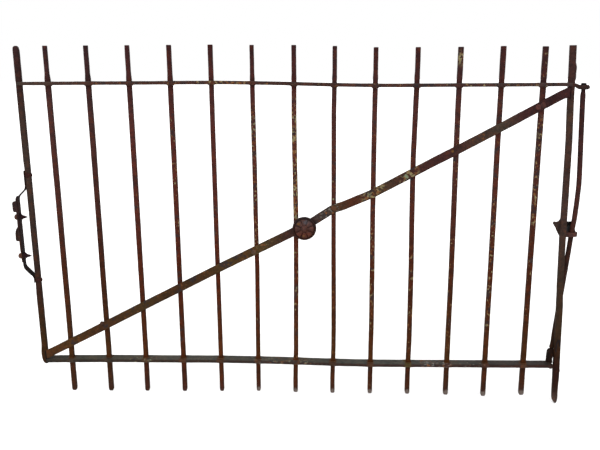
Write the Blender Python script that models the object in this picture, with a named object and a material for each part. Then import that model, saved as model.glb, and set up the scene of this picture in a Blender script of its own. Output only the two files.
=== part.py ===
"""Wrought-iron garden gate leaf.

Axes: +X runs across the gate towards the hinge side, -Y is the front, +Z is up.
Origin: the tip of the heel under the hinge stile, which is where the leaf turns in the ground.
All sizes are in metres.
"""
import math

import bmesh
import bpy
from mathutils import Vector

# ---------------------------------------------------------------- driving dimensions
GAP = 0.0003                 # clearance kept between touching pieces

PICKET_COUNT = 13
PITCH = 0.1144               # picket to picket
PICKET = 0.0122              # square bar
PICKET_LENGTH = 1.036
PICKET_BELOW_RAIL = 0.1045   # from the bottom rail's middle to the lower end of picket 4
PICKET_SHORT = (             # how much higher each lower end stops, picket 1 to 13
    -0.0015, -0.0018, -0.0014, 0.0, 0.0009, 0.0020, 0.0018, 0.0031, 0.0050, 0.0050, 0.0047, 0.0012, 0.0050,
)
LAST_PICKET_X = -0.1087      # middle of picket 13
PICKET_SET = {               # pickets that stand out of pitch
    4: 0.0007, 5: 0.0006, 6: 0.0012, 7: 0.0019, 8: -0.0010, 9: -0.0026, 10: -0.0038,
}

STILE = 0.0142               # square bar
LATCH_STILE_X = -1.5634
LATCH_STILE_TOP = 1.0685
HINGE_STILE_LINE = (         # Z, X along the middle of the hinge stile, which leans and bows a little
    (0.0000, -0.0050),
    (0.0800, -0.0073),
    (0.3300, -0.0145),
    (0.5150, -0.0206),
    (0.6400, -0.0225),
    (0.8000, -0.0255),
    (0.9000, -0.0300),
    (1.0608, -0.0357),
)

RAIL_THICK = 0.0080
RAIL_DEPTH = 0.0332
BOTTOM_RAIL_Z = 0.137        # middle of the bottom rail on the latch side
RAIL_SPACING = 0.829
HINGE_SIDE_DROP = 0.010      # how far the hinge-side half of the leaf has sunk
DROP_FROM_PICKET = 5.0
DROP_TO_PICKET = 9.5

TENON_DEPTH = 0.0070
TENON_THICK = 0.0062

BRACE_WIDTH = 0.0222
BRACE_THICK = 0.0055
BRACE_BACK_Y = -0.0074
BRACE_LINE = (               # X, Z along the middle of the brace, latch side to hinge side
    (-1.5558, 0.1535),
    (-0.8200, 0.5295),
    (-0.7500, 0.5665),
    (-0.6820, 0.6100),
    (-0.6580, 0.6170),
    (-0.5730, 0.6528),
    (-0.4450, 0.7210),
    (-0.0490, 0.9335),
    (-0.0375, 0.9363),
)
BRACE_JOINT_X = -0.748       # where the two halves meet, under the rosette
BRACE_RIVET_PICKETS = (8, 13)

ROSETTE_X = -0.7649
ROSETTE_Z = 0.5542
ROSETTE_RADIUS = 0.0325
ROSETTE_HEIGHT = 0.0130

EYE_X = 0.002
EYE_Z = 0.9483
EYE_RADIUS = 0.0165
EYE_THICK = 0.0110
ROD_HOLE_RADIUS = 0.0080     # in the eye and in the guide

ROD_RADIUS = 0.00625
ROD_LINE = (                 # X, Y, Z along the rod, top to bottom
    (0.0015, 0.0000, 0.9610),
    (0.0015, 0.0000, 0.9280),
    (0.0036, 0.0014, 0.8870),
    (0.0066, 0.0030, 0.8320),
    (0.0098, 0.0045, 0.7760),
    (0.0135, 0.0062, 0.7120),
    (0.0149, 0.0070, 0.6760),
    (0.0141, 0.0085, 0.6300),
    (0.0119, 0.0105, 0.5740),
    (0.0078, 0.0125, 0.5300),
    (0.0039, 0.0140, 0.4700),
    (-0.0148, 0.0140, 0.2500),
    (-0.0193, 0.0140, 0.1900),
    (-0.0236, 0.0105, 0.1760),
)
GUIDE_STATION = 9            # entry of ROD_LINE that passes through the guide
GUIDE_Z = (0.5240, 0.5653)
ROD_PIN_RADIUS = 0.0035
ROD_PIN_END = 0.1610

LUG_X = (-0.0355, -0.0175)   # left side, right side at the top
LUG_WAIST_X = -0.0225        # right side lower down
LUG_Y = (0.0022, 0.0177)
LUG_Z = (0.1311, 0.1740)
LUG_STEP_Z = (0.1520, 0.1600)
LUG_HOLE_RADIUS = 0.0050
LUG_HOLE_BOTTOM = 0.1590

STRAP_THICK = 0.0018
STRAP_DEPTH = 0.0210
STRAP_LINE = (               # X from the latch stile's outer face, Z, top to bottom
    (0.0000, 0.7200),
    (0.0000, 0.6680),
    (0.0278, 0.6420),
    (0.0278, 0.4370),
    (0.0000, 0.3985),
    (0.0000, 0.3830),
)
STRAP_RIVET_Z = (0.7068, 0.3905)

PLATE_LINE = (               # Z, thickness, share of the strap's depth, bottom to top
    (0.4444, 0.0022, 0.72),
    (0.4480, 0.0026, 1.00),
    (0.4900, 0.0046, 1.00),
    (0.5200, 0.0050, 1.00),
    (0.6200, 0.0050, 1.00),
    (0.6340, 0.0038, 1.00),
    (0.6400, 0.0028, 0.86),
    (0.6440, 0.0024, 0.60),
    (0.6457, 0.0022, 0.32),
)
PLATE_THICK = 0.0050
EAR_REACH = 0.0124
EAR_HALF_DEPTH = 0.0040
CATCH_BOLT_Z = (0.5824, 0.4648)
BOLT_RADIUS = 0.0040
RIVET_RADIUS = 0.0035
HOLE_EASE = 0.0003           # added to a shank's radius for its hole

ROUND = 16                   # sides on small turned pieces


# ---------------------------------------------------------------- scene helpers
def clear_scene():
    """Remove every object that the file opened with."""
    for obj in list(bpy.data.objects):
        bpy.data.objects.remove(obj, do_unlink=True)


def iron(name, colour, roughness, metallic):
    """A plain Principled material for one kind of piece."""
    mat = bpy.data.materials.new(name)
    mat.use_nodes = True
    shader = mat.node_tree.nodes["Principled BSDF"]
    shader.inputs["Base Color"].default_value = (*colour, 1.0)
    shader.inputs["Roughness"].default_value = roughness
    shader.inputs["Metallic"].default_value = metallic
    return mat


def finish_mesh(name, bm, material, smooth_angle=0.0):
    """Turn a bmesh of closed shells into a scene object with its faces pointing out."""
    bmesh.ops.recalc_face_normals(bm, faces=bm.faces)
    mesh = bpy.data.meshes.new(name)
    bm.to_mesh(mesh)
    bm.free()
    obj = bpy.data.objects.new(name, mesh)
    bpy.context.scene.collection.objects.link(obj)
    if material:
        mesh.materials.append(material)
    if smooth_angle:
        mesh.shade_smooth()
        mesh.set_sharp_from_angle(angle=math.radians(smooth_angle))
    return obj


def make_cutter(name, bm):
    """A mesh that only cuts others."""
    cutter = finish_mesh(name, bm, None)
    cutter.hide_render = True
    cutter.display_type = "WIRE"
    return cutter


def combine(obj, other, operation):
    """Add an exact Boolean with another object."""
    mod = obj.modifiers.new(other.name, "BOOLEAN")
    mod.operation = operation
    mod.solver = "EXACT"
    mod.object = other


def carry(name, location, pieces):
    """An empty on a joint's line that the pieces moving together hang on."""
    empty = bpy.data.objects.new(name, None)
    empty.location = location
    bpy.context.scene.collection.objects.link(empty)
    for piece in pieces:
        piece.parent = empty
        piece.location = -Vector(location)


# ---------------------------------------------------------------- solid helpers
def add_loft(bm, rings):
    """One closed shell through rings of points, with a flat cap at each end."""
    loops = [[bm.verts.new(point) for point in ring] for ring in rings]
    count = len(loops[0])
    for low, high in zip(loops, loops[1:]):
        for i in range(count):
            j = (i + 1) % count
            bm.faces.new((low[i], low[j], high[j], high[i]))
    bm.faces.new(list(reversed(loops[0])))
    bm.faces.new(loops[-1])


def add_box(bm, low, high):
    """One axis-aligned box."""
    rings = [
        [(x, y, z) for x, y in ((low[0], low[1]), (high[0], low[1]), (high[0], high[1]), (low[0], high[1]))]
        for z in (low[2], high[2])
    ]
    add_loft(bm, rings)


def add_prism(bm, outline, low_y, high_y):
    """An outline of (X, Z) points, extruded in Y."""
    add_loft(bm, [[(x, y, z) for x, z in outline] for y in (low_y, high_y)])


def add_turned(bm, origin, axis, profile, sides=ROUND):
    """A turned shell: profile holds (distance along the axis, radius) pairs."""
    axis = Vector(axis).normalized()
    across = axis.orthogonal().normalized()
    other = axis.cross(across)
    rings = []
    for distance, radius in profile:
        centre = Vector(origin) + axis * distance
        rings.append([
            centre + (across * math.cos(a) + other * math.sin(a)) * radius
            for a in (2.0 * math.pi * i / sides for i in range(sides))
        ])
    add_loft(bm, rings)


def square_ring(x, y, z, half_x, half_y, corner):
    """A horizontal square section with cut corners."""
    cut_x, cut_y = half_x - corner, half_y - corner
    return [
        (x - half_x, y - cut_y, z), (x - cut_x, y - half_y, z),
        (x + cut_x, y - half_y, z), (x + half_x, y - cut_y, z),
        (x + half_x, y + cut_y, z), (x + cut_x, y + half_y, z),
        (x - cut_x, y + half_y, z), (x - half_x, y + cut_y, z),
    ]


def upright_slice(x, y, z, half_y, half_z):
    """A vertical rectangular section of a bar that runs in X."""
    return [
        (x, y - half_y, z - half_z), (x, y + half_y, z - half_z),
        (x, y + half_y, z + half_z), (x, y - half_y, z + half_z),
    ]


# ---------------------------------------------------------------- shape of the leaf
def picket_x(number):
    """Middle of a picket, 1 to 13 from the latch side."""
    return LAST_PICKET_X + (number - PICKET_COUNT) * PITCH + PICKET_SET.get(number, 0.0)


def drop(x):
    """How far the leaf has sunk at x: nothing on the latch side, all of it on the hinge side."""
    start = LAST_PICKET_X + (DROP_FROM_PICKET - PICKET_COUNT) * PITCH
    end = LAST_PICKET_X + (DROP_TO_PICKET - PICKET_COUNT) * PITCH
    t = min(max((x - start) / (end - start), 0.0), 1.0)
    return HINGE_SIDE_DROP * t * t * (3.0 - 2.0 * t)


def on_line(line, position):
    """Linear interpolation in a table of (position, value)."""
    for (a, va), (b, vb) in zip(line, line[1:]):
        if position <= b:
            t = max((position - a) / (b - a), 0.0)
            return va + (vb - va) * t
    return line[-1][1]


def hinge_stile_x(z):
    """Middle of the hinge stile."""
    return on_line(HINGE_STILE_LINE, z)


def rail_rings(sections, base_z, step=0.04):
    """Slices of a rail. sections: (x, half depth, half thickness, extra dip), left to right."""
    rings = []
    for (xa, ya, ta, da), (xb, yb, tb, db) in zip(sections, sections[1:]):
        parts = max(1, round((xb - xa) / step))
        for k in range(parts):
            t = k / parts
            x = xa + (xb - xa) * t
            z = base_z - drop(x) - (da + (db - da) * t)
            rings.append(upright_slice(x, 0.0, z, ya + (yb - ya) * t, ta + (tb - ta) * t))
    x, y, t, d = sections[-1]
    rings.append(upright_slice(x, 0.0, base_z - drop(x) - d, y, t))
    return rings


HALF_STILE = STILE / 2
HALF_RAIL = (RAIL_DEPTH / 2, RAIL_THICK / 2, 0.0)
HALF_TENON = (TENON_DEPTH / 2, TENON_THICK / 2, 0.0)
TOP_RAIL_Z = BOTTOM_RAIL_Z + RAIL_SPACING

LATCH_IN = LATCH_STILE_X + HALF_STILE            # latch stile's face towards the pickets
LATCH_OUT = LATCH_STILE_X - HALF_STILE           # latch stile's outer face
TOP_HINGE_X = hinge_stile_x(TOP_RAIL_Z - HINGE_SIDE_DROP)
TAIL_HINGE_X = hinge_stile_x(BOTTOM_RAIL_Z - HINGE_SIDE_DROP - 0.013)

TOP_RAIL_SECTIONS = (
    (LATCH_OUT - GAP - 0.0015, 0.0048, 0.0045, 0.0),      # peened head of the left tenon
    (LATCH_OUT - GAP - 0.0006, 0.0062, 0.0060, 0.0),
    (LATCH_OUT - GAP, 0.0062, 0.0060, 0.0),
    (LATCH_OUT - GAP, *HALF_TENON),
    (LATCH_IN + GAP, *HALF_TENON),
    (LATCH_IN + GAP, *HALF_RAIL),
    (TOP_HINGE_X - HALF_STILE - 0.0006, *HALF_RAIL),
    (TOP_HINGE_X - HALF_STILE - 0.0006, *HALF_TENON),
    (TOP_HINGE_X + HALF_STILE + 0.0006, *HALF_TENON),     # neck on the far side of the stile
    (TOP_HINGE_X + HALF_STILE + 0.0050, 0.0046, 0.0029, 0.0018),
    (EYE_X - EYE_RADIUS + 0.0040, 0.0068, 0.0036, TOP_RAIL_Z - HINGE_SIDE_DROP - EYE_Z),
)

BOTTOM_RAIL_SECTIONS = (
    (LATCH_IN + GAP, RAIL_DEPTH / 2, RAIL_THICK / 2, 0.0028),
    (-1.4800, RAIL_DEPTH / 2, RAIL_THICK / 2, 0.0012),
    (-1.3800, *HALF_RAIL),
    (-0.0360, *HALF_RAIL),
    (-0.0290, 0.0135, 0.0040, 0.0),                       # rounded end, then the tail
    (-0.0255, 0.0052, 0.0038, 0.0010),
    (TAIL_HINGE_X - HALF_STILE - 0.0008, 0.0035, 0.0031, 0.0110),
    (TAIL_HINGE_X + HALF_STILE + 0.0008, 0.0035, 0.0031, 0.0165),
    (TAIL_HINGE_X + HALF_STILE + 0.0008, 0.0062, 0.0058, 0.0165),
    (TAIL_HINGE_X + HALF_STILE + 0.0028, 0.0055, 0.0052, 0.0175),
    (TAIL_HINGE_X + HALF_STILE + 0.0042, 0.0030, 0.0030, 0.0180),
)


LATCH_TENON, HINGE_TENON = 3, 7  # the entries of TOP_RAIL_SECTIONS where the tenons start
TAIL_TENON = 6                   # and of BOTTOM_RAIL_SECTIONS


def slot_rings(sections, first, base_z):
    """A tenon's stretch between two sections, eased and run out past both ends, to cut its slot."""
    (xa, half_y, half_z, dip_a), (xb, _, _, dip_b) = sections[first:first + 2]
    slope = (dip_b - dip_a) / (xb - xa)
    run = 0.0040
    return rail_rings((
        (xa - run, half_y + GAP, half_z + GAP, dip_a - slope * run),
        (xb + run, half_y + GAP, half_z + GAP, dip_b + slope * run),
    ), base_z)


def build_uprights(mats):
    """Both stiles."""
    bm = bmesh.new()
    x, half, corner = LATCH_STILE_X, HALF_STILE, 0.0015
    foot = (                     # Z, outer face, inner face, half depth of the drawn-out foot
        (0.1208, LATCH_OUT + 0.0062, LATCH_IN - 0.0030, 0.0036),
        (0.1222, LATCH_OUT + 0.0035, LATCH_IN - 0.0020, 0.0045),
        (0.1255, LATCH_OUT + 0.0014, LATCH_IN - 0.0012, 0.0054),
        (0.1288, LATCH_OUT - 0.0004, LATCH_IN - 0.0008, 0.0060),
        (0.1355, LATCH_OUT - 0.0020, LATCH_IN, 0.0064),
        (0.1421, LATCH_OUT - 0.0032, LATCH_IN, 0.0066),
        (0.1520, LATCH_OUT - 0.0037, LATCH_IN, 0.0068),
        (0.1619, LATCH_OUT - 0.0032, LATCH_IN, 0.0070),
        (0.1750, LATCH_OUT - 0.0014, LATCH_IN, HALF_STILE),
        (0.1900, LATCH_OUT, LATCH_IN, HALF_STILE),
    )
    rings = []
    for z, outer, inner, depth in foot:
        width = (inner - outer) / 2
        rings.append(square_ring((outer + inner) / 2, 0.0, z, width, depth, min(corner, width * 0.4)))
    dome = ((0.0060, 1.0), (0.0032, 0.90), (0.0012, 0.68), (0.0, 0.35))
    for below, share in dome:
        rings.append(square_ring(x, 0.0, LATCH_STILE_TOP - below, half * share, half * share, corner * share))
    add_loft(bm, rings)
    left = finish_mesh("left_stile", bm, mats["stile"])

    bm = bmesh.new()
    heel = (                     # Z, half width, half depth, sideways shift of the drawn-out heel
        (0.0000, 0.0012, 0.0025, 0.0042),
        (0.0060, 0.0038, 0.0048, 0.0026),
        (0.0150, 0.0060, 0.0064, 0.0010),
        (0.0260, half, half, 0.0),
    )
    top, _ = HINGE_STILE_LINE[-1]
    stations = [*heel, *((z, half, half, 0.0) for z, _ in HINGE_STILE_LINE[1:-1])]
    stations += [(top - 0.0015, half, half, 0.0), (top, half - 0.0012, half - 0.0012, 0.0)]
    rings = []
    for z, half_x, half_y, shift in stations:
        rings.append(square_ring(hinge_stile_x(z) + shift, 0.0, z, half_x, half_y, min(corner, half_x * 0.5)))
    add_loft(bm, rings)
    right = finish_mesh("right_stile", bm, mats["stile"])
    return left, right


def build_pickets(mats):
    """Thirteen square bars with drawn lower ends."""
    pickets = {}
    half = PICKET / 2
    # distance from the end, share of the full section
    lower_end = ((0.0, 0.45), (0.0015, 0.72), (0.0045, 0.93), (0.0090, 1.0))
    upper_end = ((0.0025, 1.0), (0.0008, 0.90), (0.0, 0.72))
    for number in range(1, PICKET_COUNT + 1):
        x = picket_x(number)
        length = PICKET_LENGTH - PICKET_SHORT[number - 1]
        ends = [*lower_end, *((length - below, share) for below, share in upper_end)]
        bm = bmesh.new()
        add_loft(bm, [
            square_ring(0.0, 0.0, height, half * share, half * share, 0.0012 * share)
            for height, share in ends
        ])
        picket = finish_mesh(f"picket_{number:02d}", bm, mats["picket"])
        foot = BOTTOM_RAIL_Z - PICKET_BELOW_RAIL + PICKET_SHORT[number - 1]
        picket.location = (x, 0.0, foot - drop(x))
        pickets[number] = picket
    return pickets


def build_rails(mats):
    """Both rails, punched for the pickets, and the eye at the hinge end of the top rail."""
    bm = bmesh.new()
    half = PICKET / 2 + GAP
    for number in range(1, PICKET_COUNT + 1):
        x = picket_x(number)
        add_box(bm, (x - half, -half, 0.05), (x + half, half, 1.02))
    punch = make_cutter("cut_picket_holes", bm)

    bm = bmesh.new()
    add_loft(bm, rail_rings(TOP_RAIL_SECTIONS, TOP_RAIL_Z))
    top = finish_mesh("top_rail", bm, mats["rail"])
    combine(top, punch, "DIFFERENCE")

    bm = bmesh.new()
    edge = EYE_THICK / 2
    profile = (
        (-edge, EYE_RADIUS - 0.0030), (-edge * 0.55, EYE_RADIUS - 0.0006), (0.0, EYE_RADIUS),
        (edge * 0.55, EYE_RADIUS - 0.0006), (edge, EYE_RADIUS - 0.0030),
    )
    add_turned(bm, (EYE_X, 0.0, EYE_Z), (0, 0, 1), profile, 24)
    combine(top, make_cutter("add_eye", bm), "UNION")
    bm = bmesh.new()
    profile = ((-0.02, ROD_HOLE_RADIUS), (0.02, ROD_HOLE_RADIUS))
    add_turned(bm, (ROD_LINE[0][0], 0.0, EYE_Z), (0, 0, 1), profile)
    combine(top, make_cutter("cut_eye", bm), "DIFFERENCE")

    bm = bmesh.new()
    add_loft(bm, rail_rings(BOTTOM_RAIL_SECTIONS, BOTTOM_RAIL_Z))
    bottom = finish_mesh("bottom_rail", bm, mats["rail"])
    combine(bottom, punch, "DIFFERENCE")
    return top, bottom


def cut_stiles(left, right):
    """Slots for the rail tenons."""
    bm = bmesh.new()
    add_loft(bm, slot_rings(TOP_RAIL_SECTIONS, LATCH_TENON, TOP_RAIL_Z))
    combine(left, make_cutter("cut_left_tenon", bm), "DIFFERENCE")
    bm = bmesh.new()
    add_loft(bm, slot_rings(TOP_RAIL_SECTIONS, HINGE_TENON, TOP_RAIL_Z))
    combine(right, make_cutter("cut_top_tenon", bm), "DIFFERENCE")
    bm = bmesh.new()
    add_loft(bm, slot_rings(BOTTOM_RAIL_SECTIONS, TAIL_TENON, BOTTOM_RAIL_Z))
    combine(right, make_cutter("cut_tail_tenon", bm), "DIFFERENCE")


def brace_rings(start, end, step=0.035):
    """Vertical slices of the brace between two places, so that its ends are cut upright."""
    inner = [x for x, _ in BRACE_LINE if start < x < end]
    stops = [start, *inner, end]
    stations = []
    for a, b in zip(stops, stops[1:]):
        parts = max(1, round((b - a) / (4 * step)))
        stations += [a + (b - a) * k / parts for k in range(parts)]
    stations.append(end)
    middle = BRACE_BACK_Y - BRACE_THICK / 2
    rings = []
    for x in stations:
        slope = (on_line(BRACE_LINE, x + step / 2) - on_line(BRACE_LINE, x - step / 2)) / step
        if not start < x < end:
            slope = 0.53
        half = BRACE_WIDTH / 2 * math.hypot(1.0, slope)
        rings.append(upright_slice(x, middle, on_line(BRACE_LINE, x), BRACE_THICK / 2, half))
    return rings


def build_brace(mats, pickets):
    """Two half braces, the rosette that covers their joint, and the rivets."""
    bm = bmesh.new()
    add_loft(bm, brace_rings(BRACE_LINE[0][0], BRACE_JOINT_X - GAP))
    lower = finish_mesh("brace_lower", bm, mats["brace"])
    bm = bmesh.new()
    add_loft(bm, brace_rings(BRACE_JOINT_X, BRACE_LINE[-1][0]))
    upper = finish_mesh("brace_upper", bm, mats["brace"])

    front = BRACE_BACK_Y - BRACE_THICK
    holes = bmesh.new()
    eased = RIVET_RADIUS + HOLE_EASE
    for number in BRACE_RIVET_PICKETS:
        x = picket_x(number)
        origin = (x, 0.0, on_line(BRACE_LINE, x))
        head = PICKET / 2 + GAP
        profile = (
            (-head - 0.0035, 0.0030), (-head - 0.0022, 0.0058), (-head, 0.0068), (-head, RIVET_RADIUS),
            (-front + GAP, RIVET_RADIUS), (-front + GAP, 0.0082), (-front + GAP + 0.0020, 0.0074),
            (-front + GAP + 0.0038, 0.0040),
        )
        bm = bmesh.new()
        add_turned(bm, origin, (0, -1, 0), profile)
        finish_mesh(f"brace_rivet_{number:02d}", bm, mats["brace"], 40)
        add_turned(holes, origin, (0, -1, 0), ((-0.03, eased), (0.03, eased)))
    cutter = make_cutter("cut_brace_rivets", holes)
    combine(upper, cutter, "DIFFERENCE")
    for number in BRACE_RIVET_PICKETS:
        combine(pickets[number], cutter, "DIFFERENCE")

    centre = (ROSETTE_X, front - GAP, ROSETTE_Z)
    outer, height = ROSETTE_RADIUS, ROSETTE_HEIGHT
    bm = bmesh.new()
    profile = (
        (0.0, outer - 0.0030), (0.0020, outer), (0.0050, outer - 0.0004), (0.0068, outer - 0.0030),
        (0.0076, outer - 0.0085), (height - 0.0030, 0.0140), (height, 0.0095),
    )
    add_turned(bm, centre, (0, -1, 0), profile, 32)
    rosette = finish_mesh("rosette", bm, mats["rosette"], 50)
    bm = bmesh.new()
    profile = (
        (-BRACE_THICK - GAP - 0.0030, 0.0045), (-BRACE_THICK - 2 * GAP, 0.0060),
        (-BRACE_THICK - 2 * GAP, RIVET_RADIUS), (height + GAP, RIVET_RADIUS), (height + GAP, 0.0066),
        (height + 0.0018, 0.0056), (height + 0.0032, 0.0026),
    )
    add_turned(bm, centre, (0, -1, 0), profile)
    finish_mesh("rosette_rivet", bm, mats["rosette"], 40)
    bm = bmesh.new()
    add_turned(bm, centre, (0, -1, 0), ((-0.02, eased), (0.04, eased)))
    cutter = make_cutter("cut_rosette_rivet", bm)
    combine(rosette, cutter, "DIFFERENCE")
    combine(lower, cutter, "DIFFERENCE")


def strap_rings():
    """Slices of the bowed latch spring, mitred at its bends."""
    points = [
        Vector((LATCH_OUT - GAP - STRAP_THICK / 2 - out, 0.0, z)) for out, z in STRAP_LINE
    ]
    rings = []
    for index, point in enumerate(points):
        before = (point - points[index - 1]).normalized() if index else None
        after = (points[index + 1] - point).normalized() if index < len(points) - 1 else None
        along = ((before or after) + (after or before)).normalized()
        across = Vector((-along.z, 0.0, along.x))
        stretch = 1.0 / max(across.dot(Vector((-(after or before).z, 0.0, (after or before).x))), 0.5)
        half = across * (STRAP_THICK / 2 * stretch)
        deep = Vector((0.0, STRAP_DEPTH / 2, 0.0))
        rings.append([point - half - deep, point + half - deep, point + half + deep, point - half + deep])
    return rings


def build_latch(mats, left_stile):
    """The spring strap, its rivets, and the catch plate with its bolts and nuts."""
    bow = max(out for out, _ in STRAP_LINE)
    strap_in = LATCH_OUT - GAP - bow                   # middle stretch, face towards the stile
    strap_out = strap_in - STRAP_THICK
    plate_in = strap_out - GAP
    plate_out = plate_in - PLATE_THICK

    bm = bmesh.new()
    add_loft(bm, strap_rings())
    strap = finish_mesh("latch_spring", bm, mats["spring"])

    holes = bmesh.new()
    eased = RIVET_RADIUS + HOLE_EASE
    inner = LATCH_IN + GAP
    outer = LATCH_OUT - 2 * GAP - STRAP_THICK
    for place, z in zip(("upper", "lower"), STRAP_RIVET_Z):
        profile = (
            (outer - 0.0030, 0.0030), (outer - 0.0020, 0.0056), (outer, 0.0066), (outer, RIVET_RADIUS),
            (inner, RIVET_RADIUS), (inner, 0.0066), (inner + 0.0026, 0.0056), (inner + 0.0042, 0.0030),
        )
        bm = bmesh.new()
        add_turned(bm, (0.0, 0.0, z), (1, 0, 0), profile)
        finish_mesh(f"strap_rivet_{place}", bm, mats["hardware"], 40)
        add_turned(holes, (0.0, 0.0, z), (1, 0, 0), ((outer - 0.02, eased), (inner + 0.02, eased)))
    cutter = make_cutter("cut_strap_rivets", holes)
    combine(strap, cutter, "DIFFERENCE")
    combine(left_stile, cutter, "DIFFERENCE")

    half = STRAP_DEPTH / 2
    bm = bmesh.new()
    add_loft(bm, [
        [
            (plate_in - thick, -half * share, z), (plate_in, -half * share, z),
            (plate_in, half * share, z), (plate_in - thick, half * share, z),
        ]
        for z, thick, share in PLATE_LINE
    ])
    plate = finish_mesh("catch_plate", bm, mats["catch"])
    reach, root = plate_out - EAR_REACH, plate_out + 0.0010
    ears = bmesh.new()
    upper_ear = (
        (root, 0.5975), (reach + 0.0030, 0.5975), (reach, 0.6005), (reach, 0.6255),
        (reach + 0.0030, 0.6290), (root, 0.6300),
    )
    lower_ear = (
        (root, 0.5095), (reach + 0.0025, 0.5095), (reach, 0.5120), (reach, 0.5310),
        (reach + 0.0025, 0.5410), (root, 0.5500),
    )
    for outline in (upper_ear, lower_ear):
        add_prism(ears, outline, -EAR_HALF_DEPTH, EAR_HALF_DEPTH)
    combine(plate, make_cutter("add_ears", ears), "UNION")

    holes = bmesh.new()
    drilled = [strap, plate]
    catch = [plate]
    eased = BOLT_RADIUS + HOLE_EASE
    nut_start = strap_in + GAP
    nut_end = nut_start + 0.0080
    head = plate_out - GAP
    for place, z in zip(("upper", "lower"), CATCH_BOLT_Z):
        origin = (0.0, 0.0, z)
        profile = (
            (head - 0.0095, 0.0040), (head - 0.0075, 0.0070), (head - 0.0030, 0.0088), (head, 0.0090),
            (head, BOLT_RADIUS), (nut_end + 0.0040, BOLT_RADIUS), (nut_end + 0.0145, 0.0008),
        )
        bm = bmesh.new()
        add_turned(bm, origin, (1, 0, 0), profile)
        bolt = finish_mesh(f"catch_bolt_{place}", bm, mats["hardware"], 40)
        bm = bmesh.new()
        profile = ((nut_start, 0.0110), (nut_start + 0.0040, 0.0108), (nut_end, 0.0066))
        add_turned(bm, origin, (1, 0, 0), profile, 8)
        nut = finish_mesh(f"catch_nut_{place}", bm, mats["hardware"])
        drilled.append(nut)
        catch += [bolt, nut]
        add_turned(holes, origin, (1, 0, 0), ((head - 0.02, eased), (nut_end + 0.02, eased)))
    cutter = make_cutter("cut_catch_bolts", holes)
    for obj in drilled:
        combine(obj, cutter, "DIFFERENCE")
    carry("catch_line", (plate_in, 0.0, sum(CATCH_BOLT_Z) / 2), catch)


def build_hinge_rod(mats):
    """The long rod, its head above the eye, and the lug that its lower end stands in."""
    bm = bmesh.new()
    rings = []
    stations = [(*point, ROD_RADIUS) for point in ROD_LINE]
    pin_x, pin_y, shoulder_z = ROD_LINE[-1]
    stations += [(pin_x, pin_y, z, ROD_PIN_RADIUS) for z in (shoulder_z, ROD_PIN_END)]
    for x, y, z, radius in stations:
        rings.append([
            (x + radius * math.cos(a), y + radius * math.sin(a), z)
            for a in (2.0 * math.pi * i / 12 for i in range(12))
        ])
    add_loft(bm, rings)
    rod = finish_mesh("hinge_rod", bm, mats["rod"], 40)

    top_x = ROD_LINE[0][0]
    seat = EYE_Z + EYE_THICK / 2 + GAP
    bm = bmesh.new()
    add_turned(bm, (top_x, 0, seat), (0, 0, 1), ((0.0, 0.0092), (0.0032, 0.0092), (0.0044, 0.0080)), 6)
    head = finish_mesh("rod_head", bm, mats["hardware"])
    bm = bmesh.new()
    eased = ROD_RADIUS + GAP
    add_turned(bm, (top_x, 0, seat), (0, 0, 1), ((-0.01, eased), (0.01, eased)))
    combine(head, make_cutter("cut_rod_head", bm), "DIFFERENCE")
    carry("rod_line", (top_x, 0.0, seat), (rod, head))

    bm = bmesh.new()
    left, right = LUG_X
    bottom, top = LUG_Z
    y = sum(LUG_Y) / 2
    half_y = (LUG_Y[1] - LUG_Y[0]) / 2
    outline = (                  # Z, left side, right side, how much the depth draws in
        (bottom, left, LUG_WAIST_X, 0.0),
        (LUG_STEP_Z[0], left, LUG_WAIST_X, 0.0),
        (LUG_STEP_Z[1], left, right, 0.0),
        (top - 0.0060, left, right, 0.0),
        (top - 0.0025, left + 0.0010, right, 0.0008),
        (top, left + 0.0040, right - 0.0012, 0.0018),
    )
    rings = []
    for z, low_x, high_x, inset in outline:
        half_x = (high_x - low_x) / 2
        rings.append(square_ring((low_x + high_x) / 2, y, z, half_x, half_y - inset, 0.0020))
    add_loft(bm, rings)
    lug = finish_mesh("rod_lug", bm, mats["hardware"])
    bm = bmesh.new()
    profile = ((0.0, LUG_HOLE_RADIUS), (0.03, LUG_HOLE_RADIUS))
    add_turned(bm, (pin_x, pin_y, LUG_HOLE_BOTTOM), (0, 0, 1), profile)
    combine(lug, make_cutter("cut_lug", bm), "DIFFERENCE")


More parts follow.
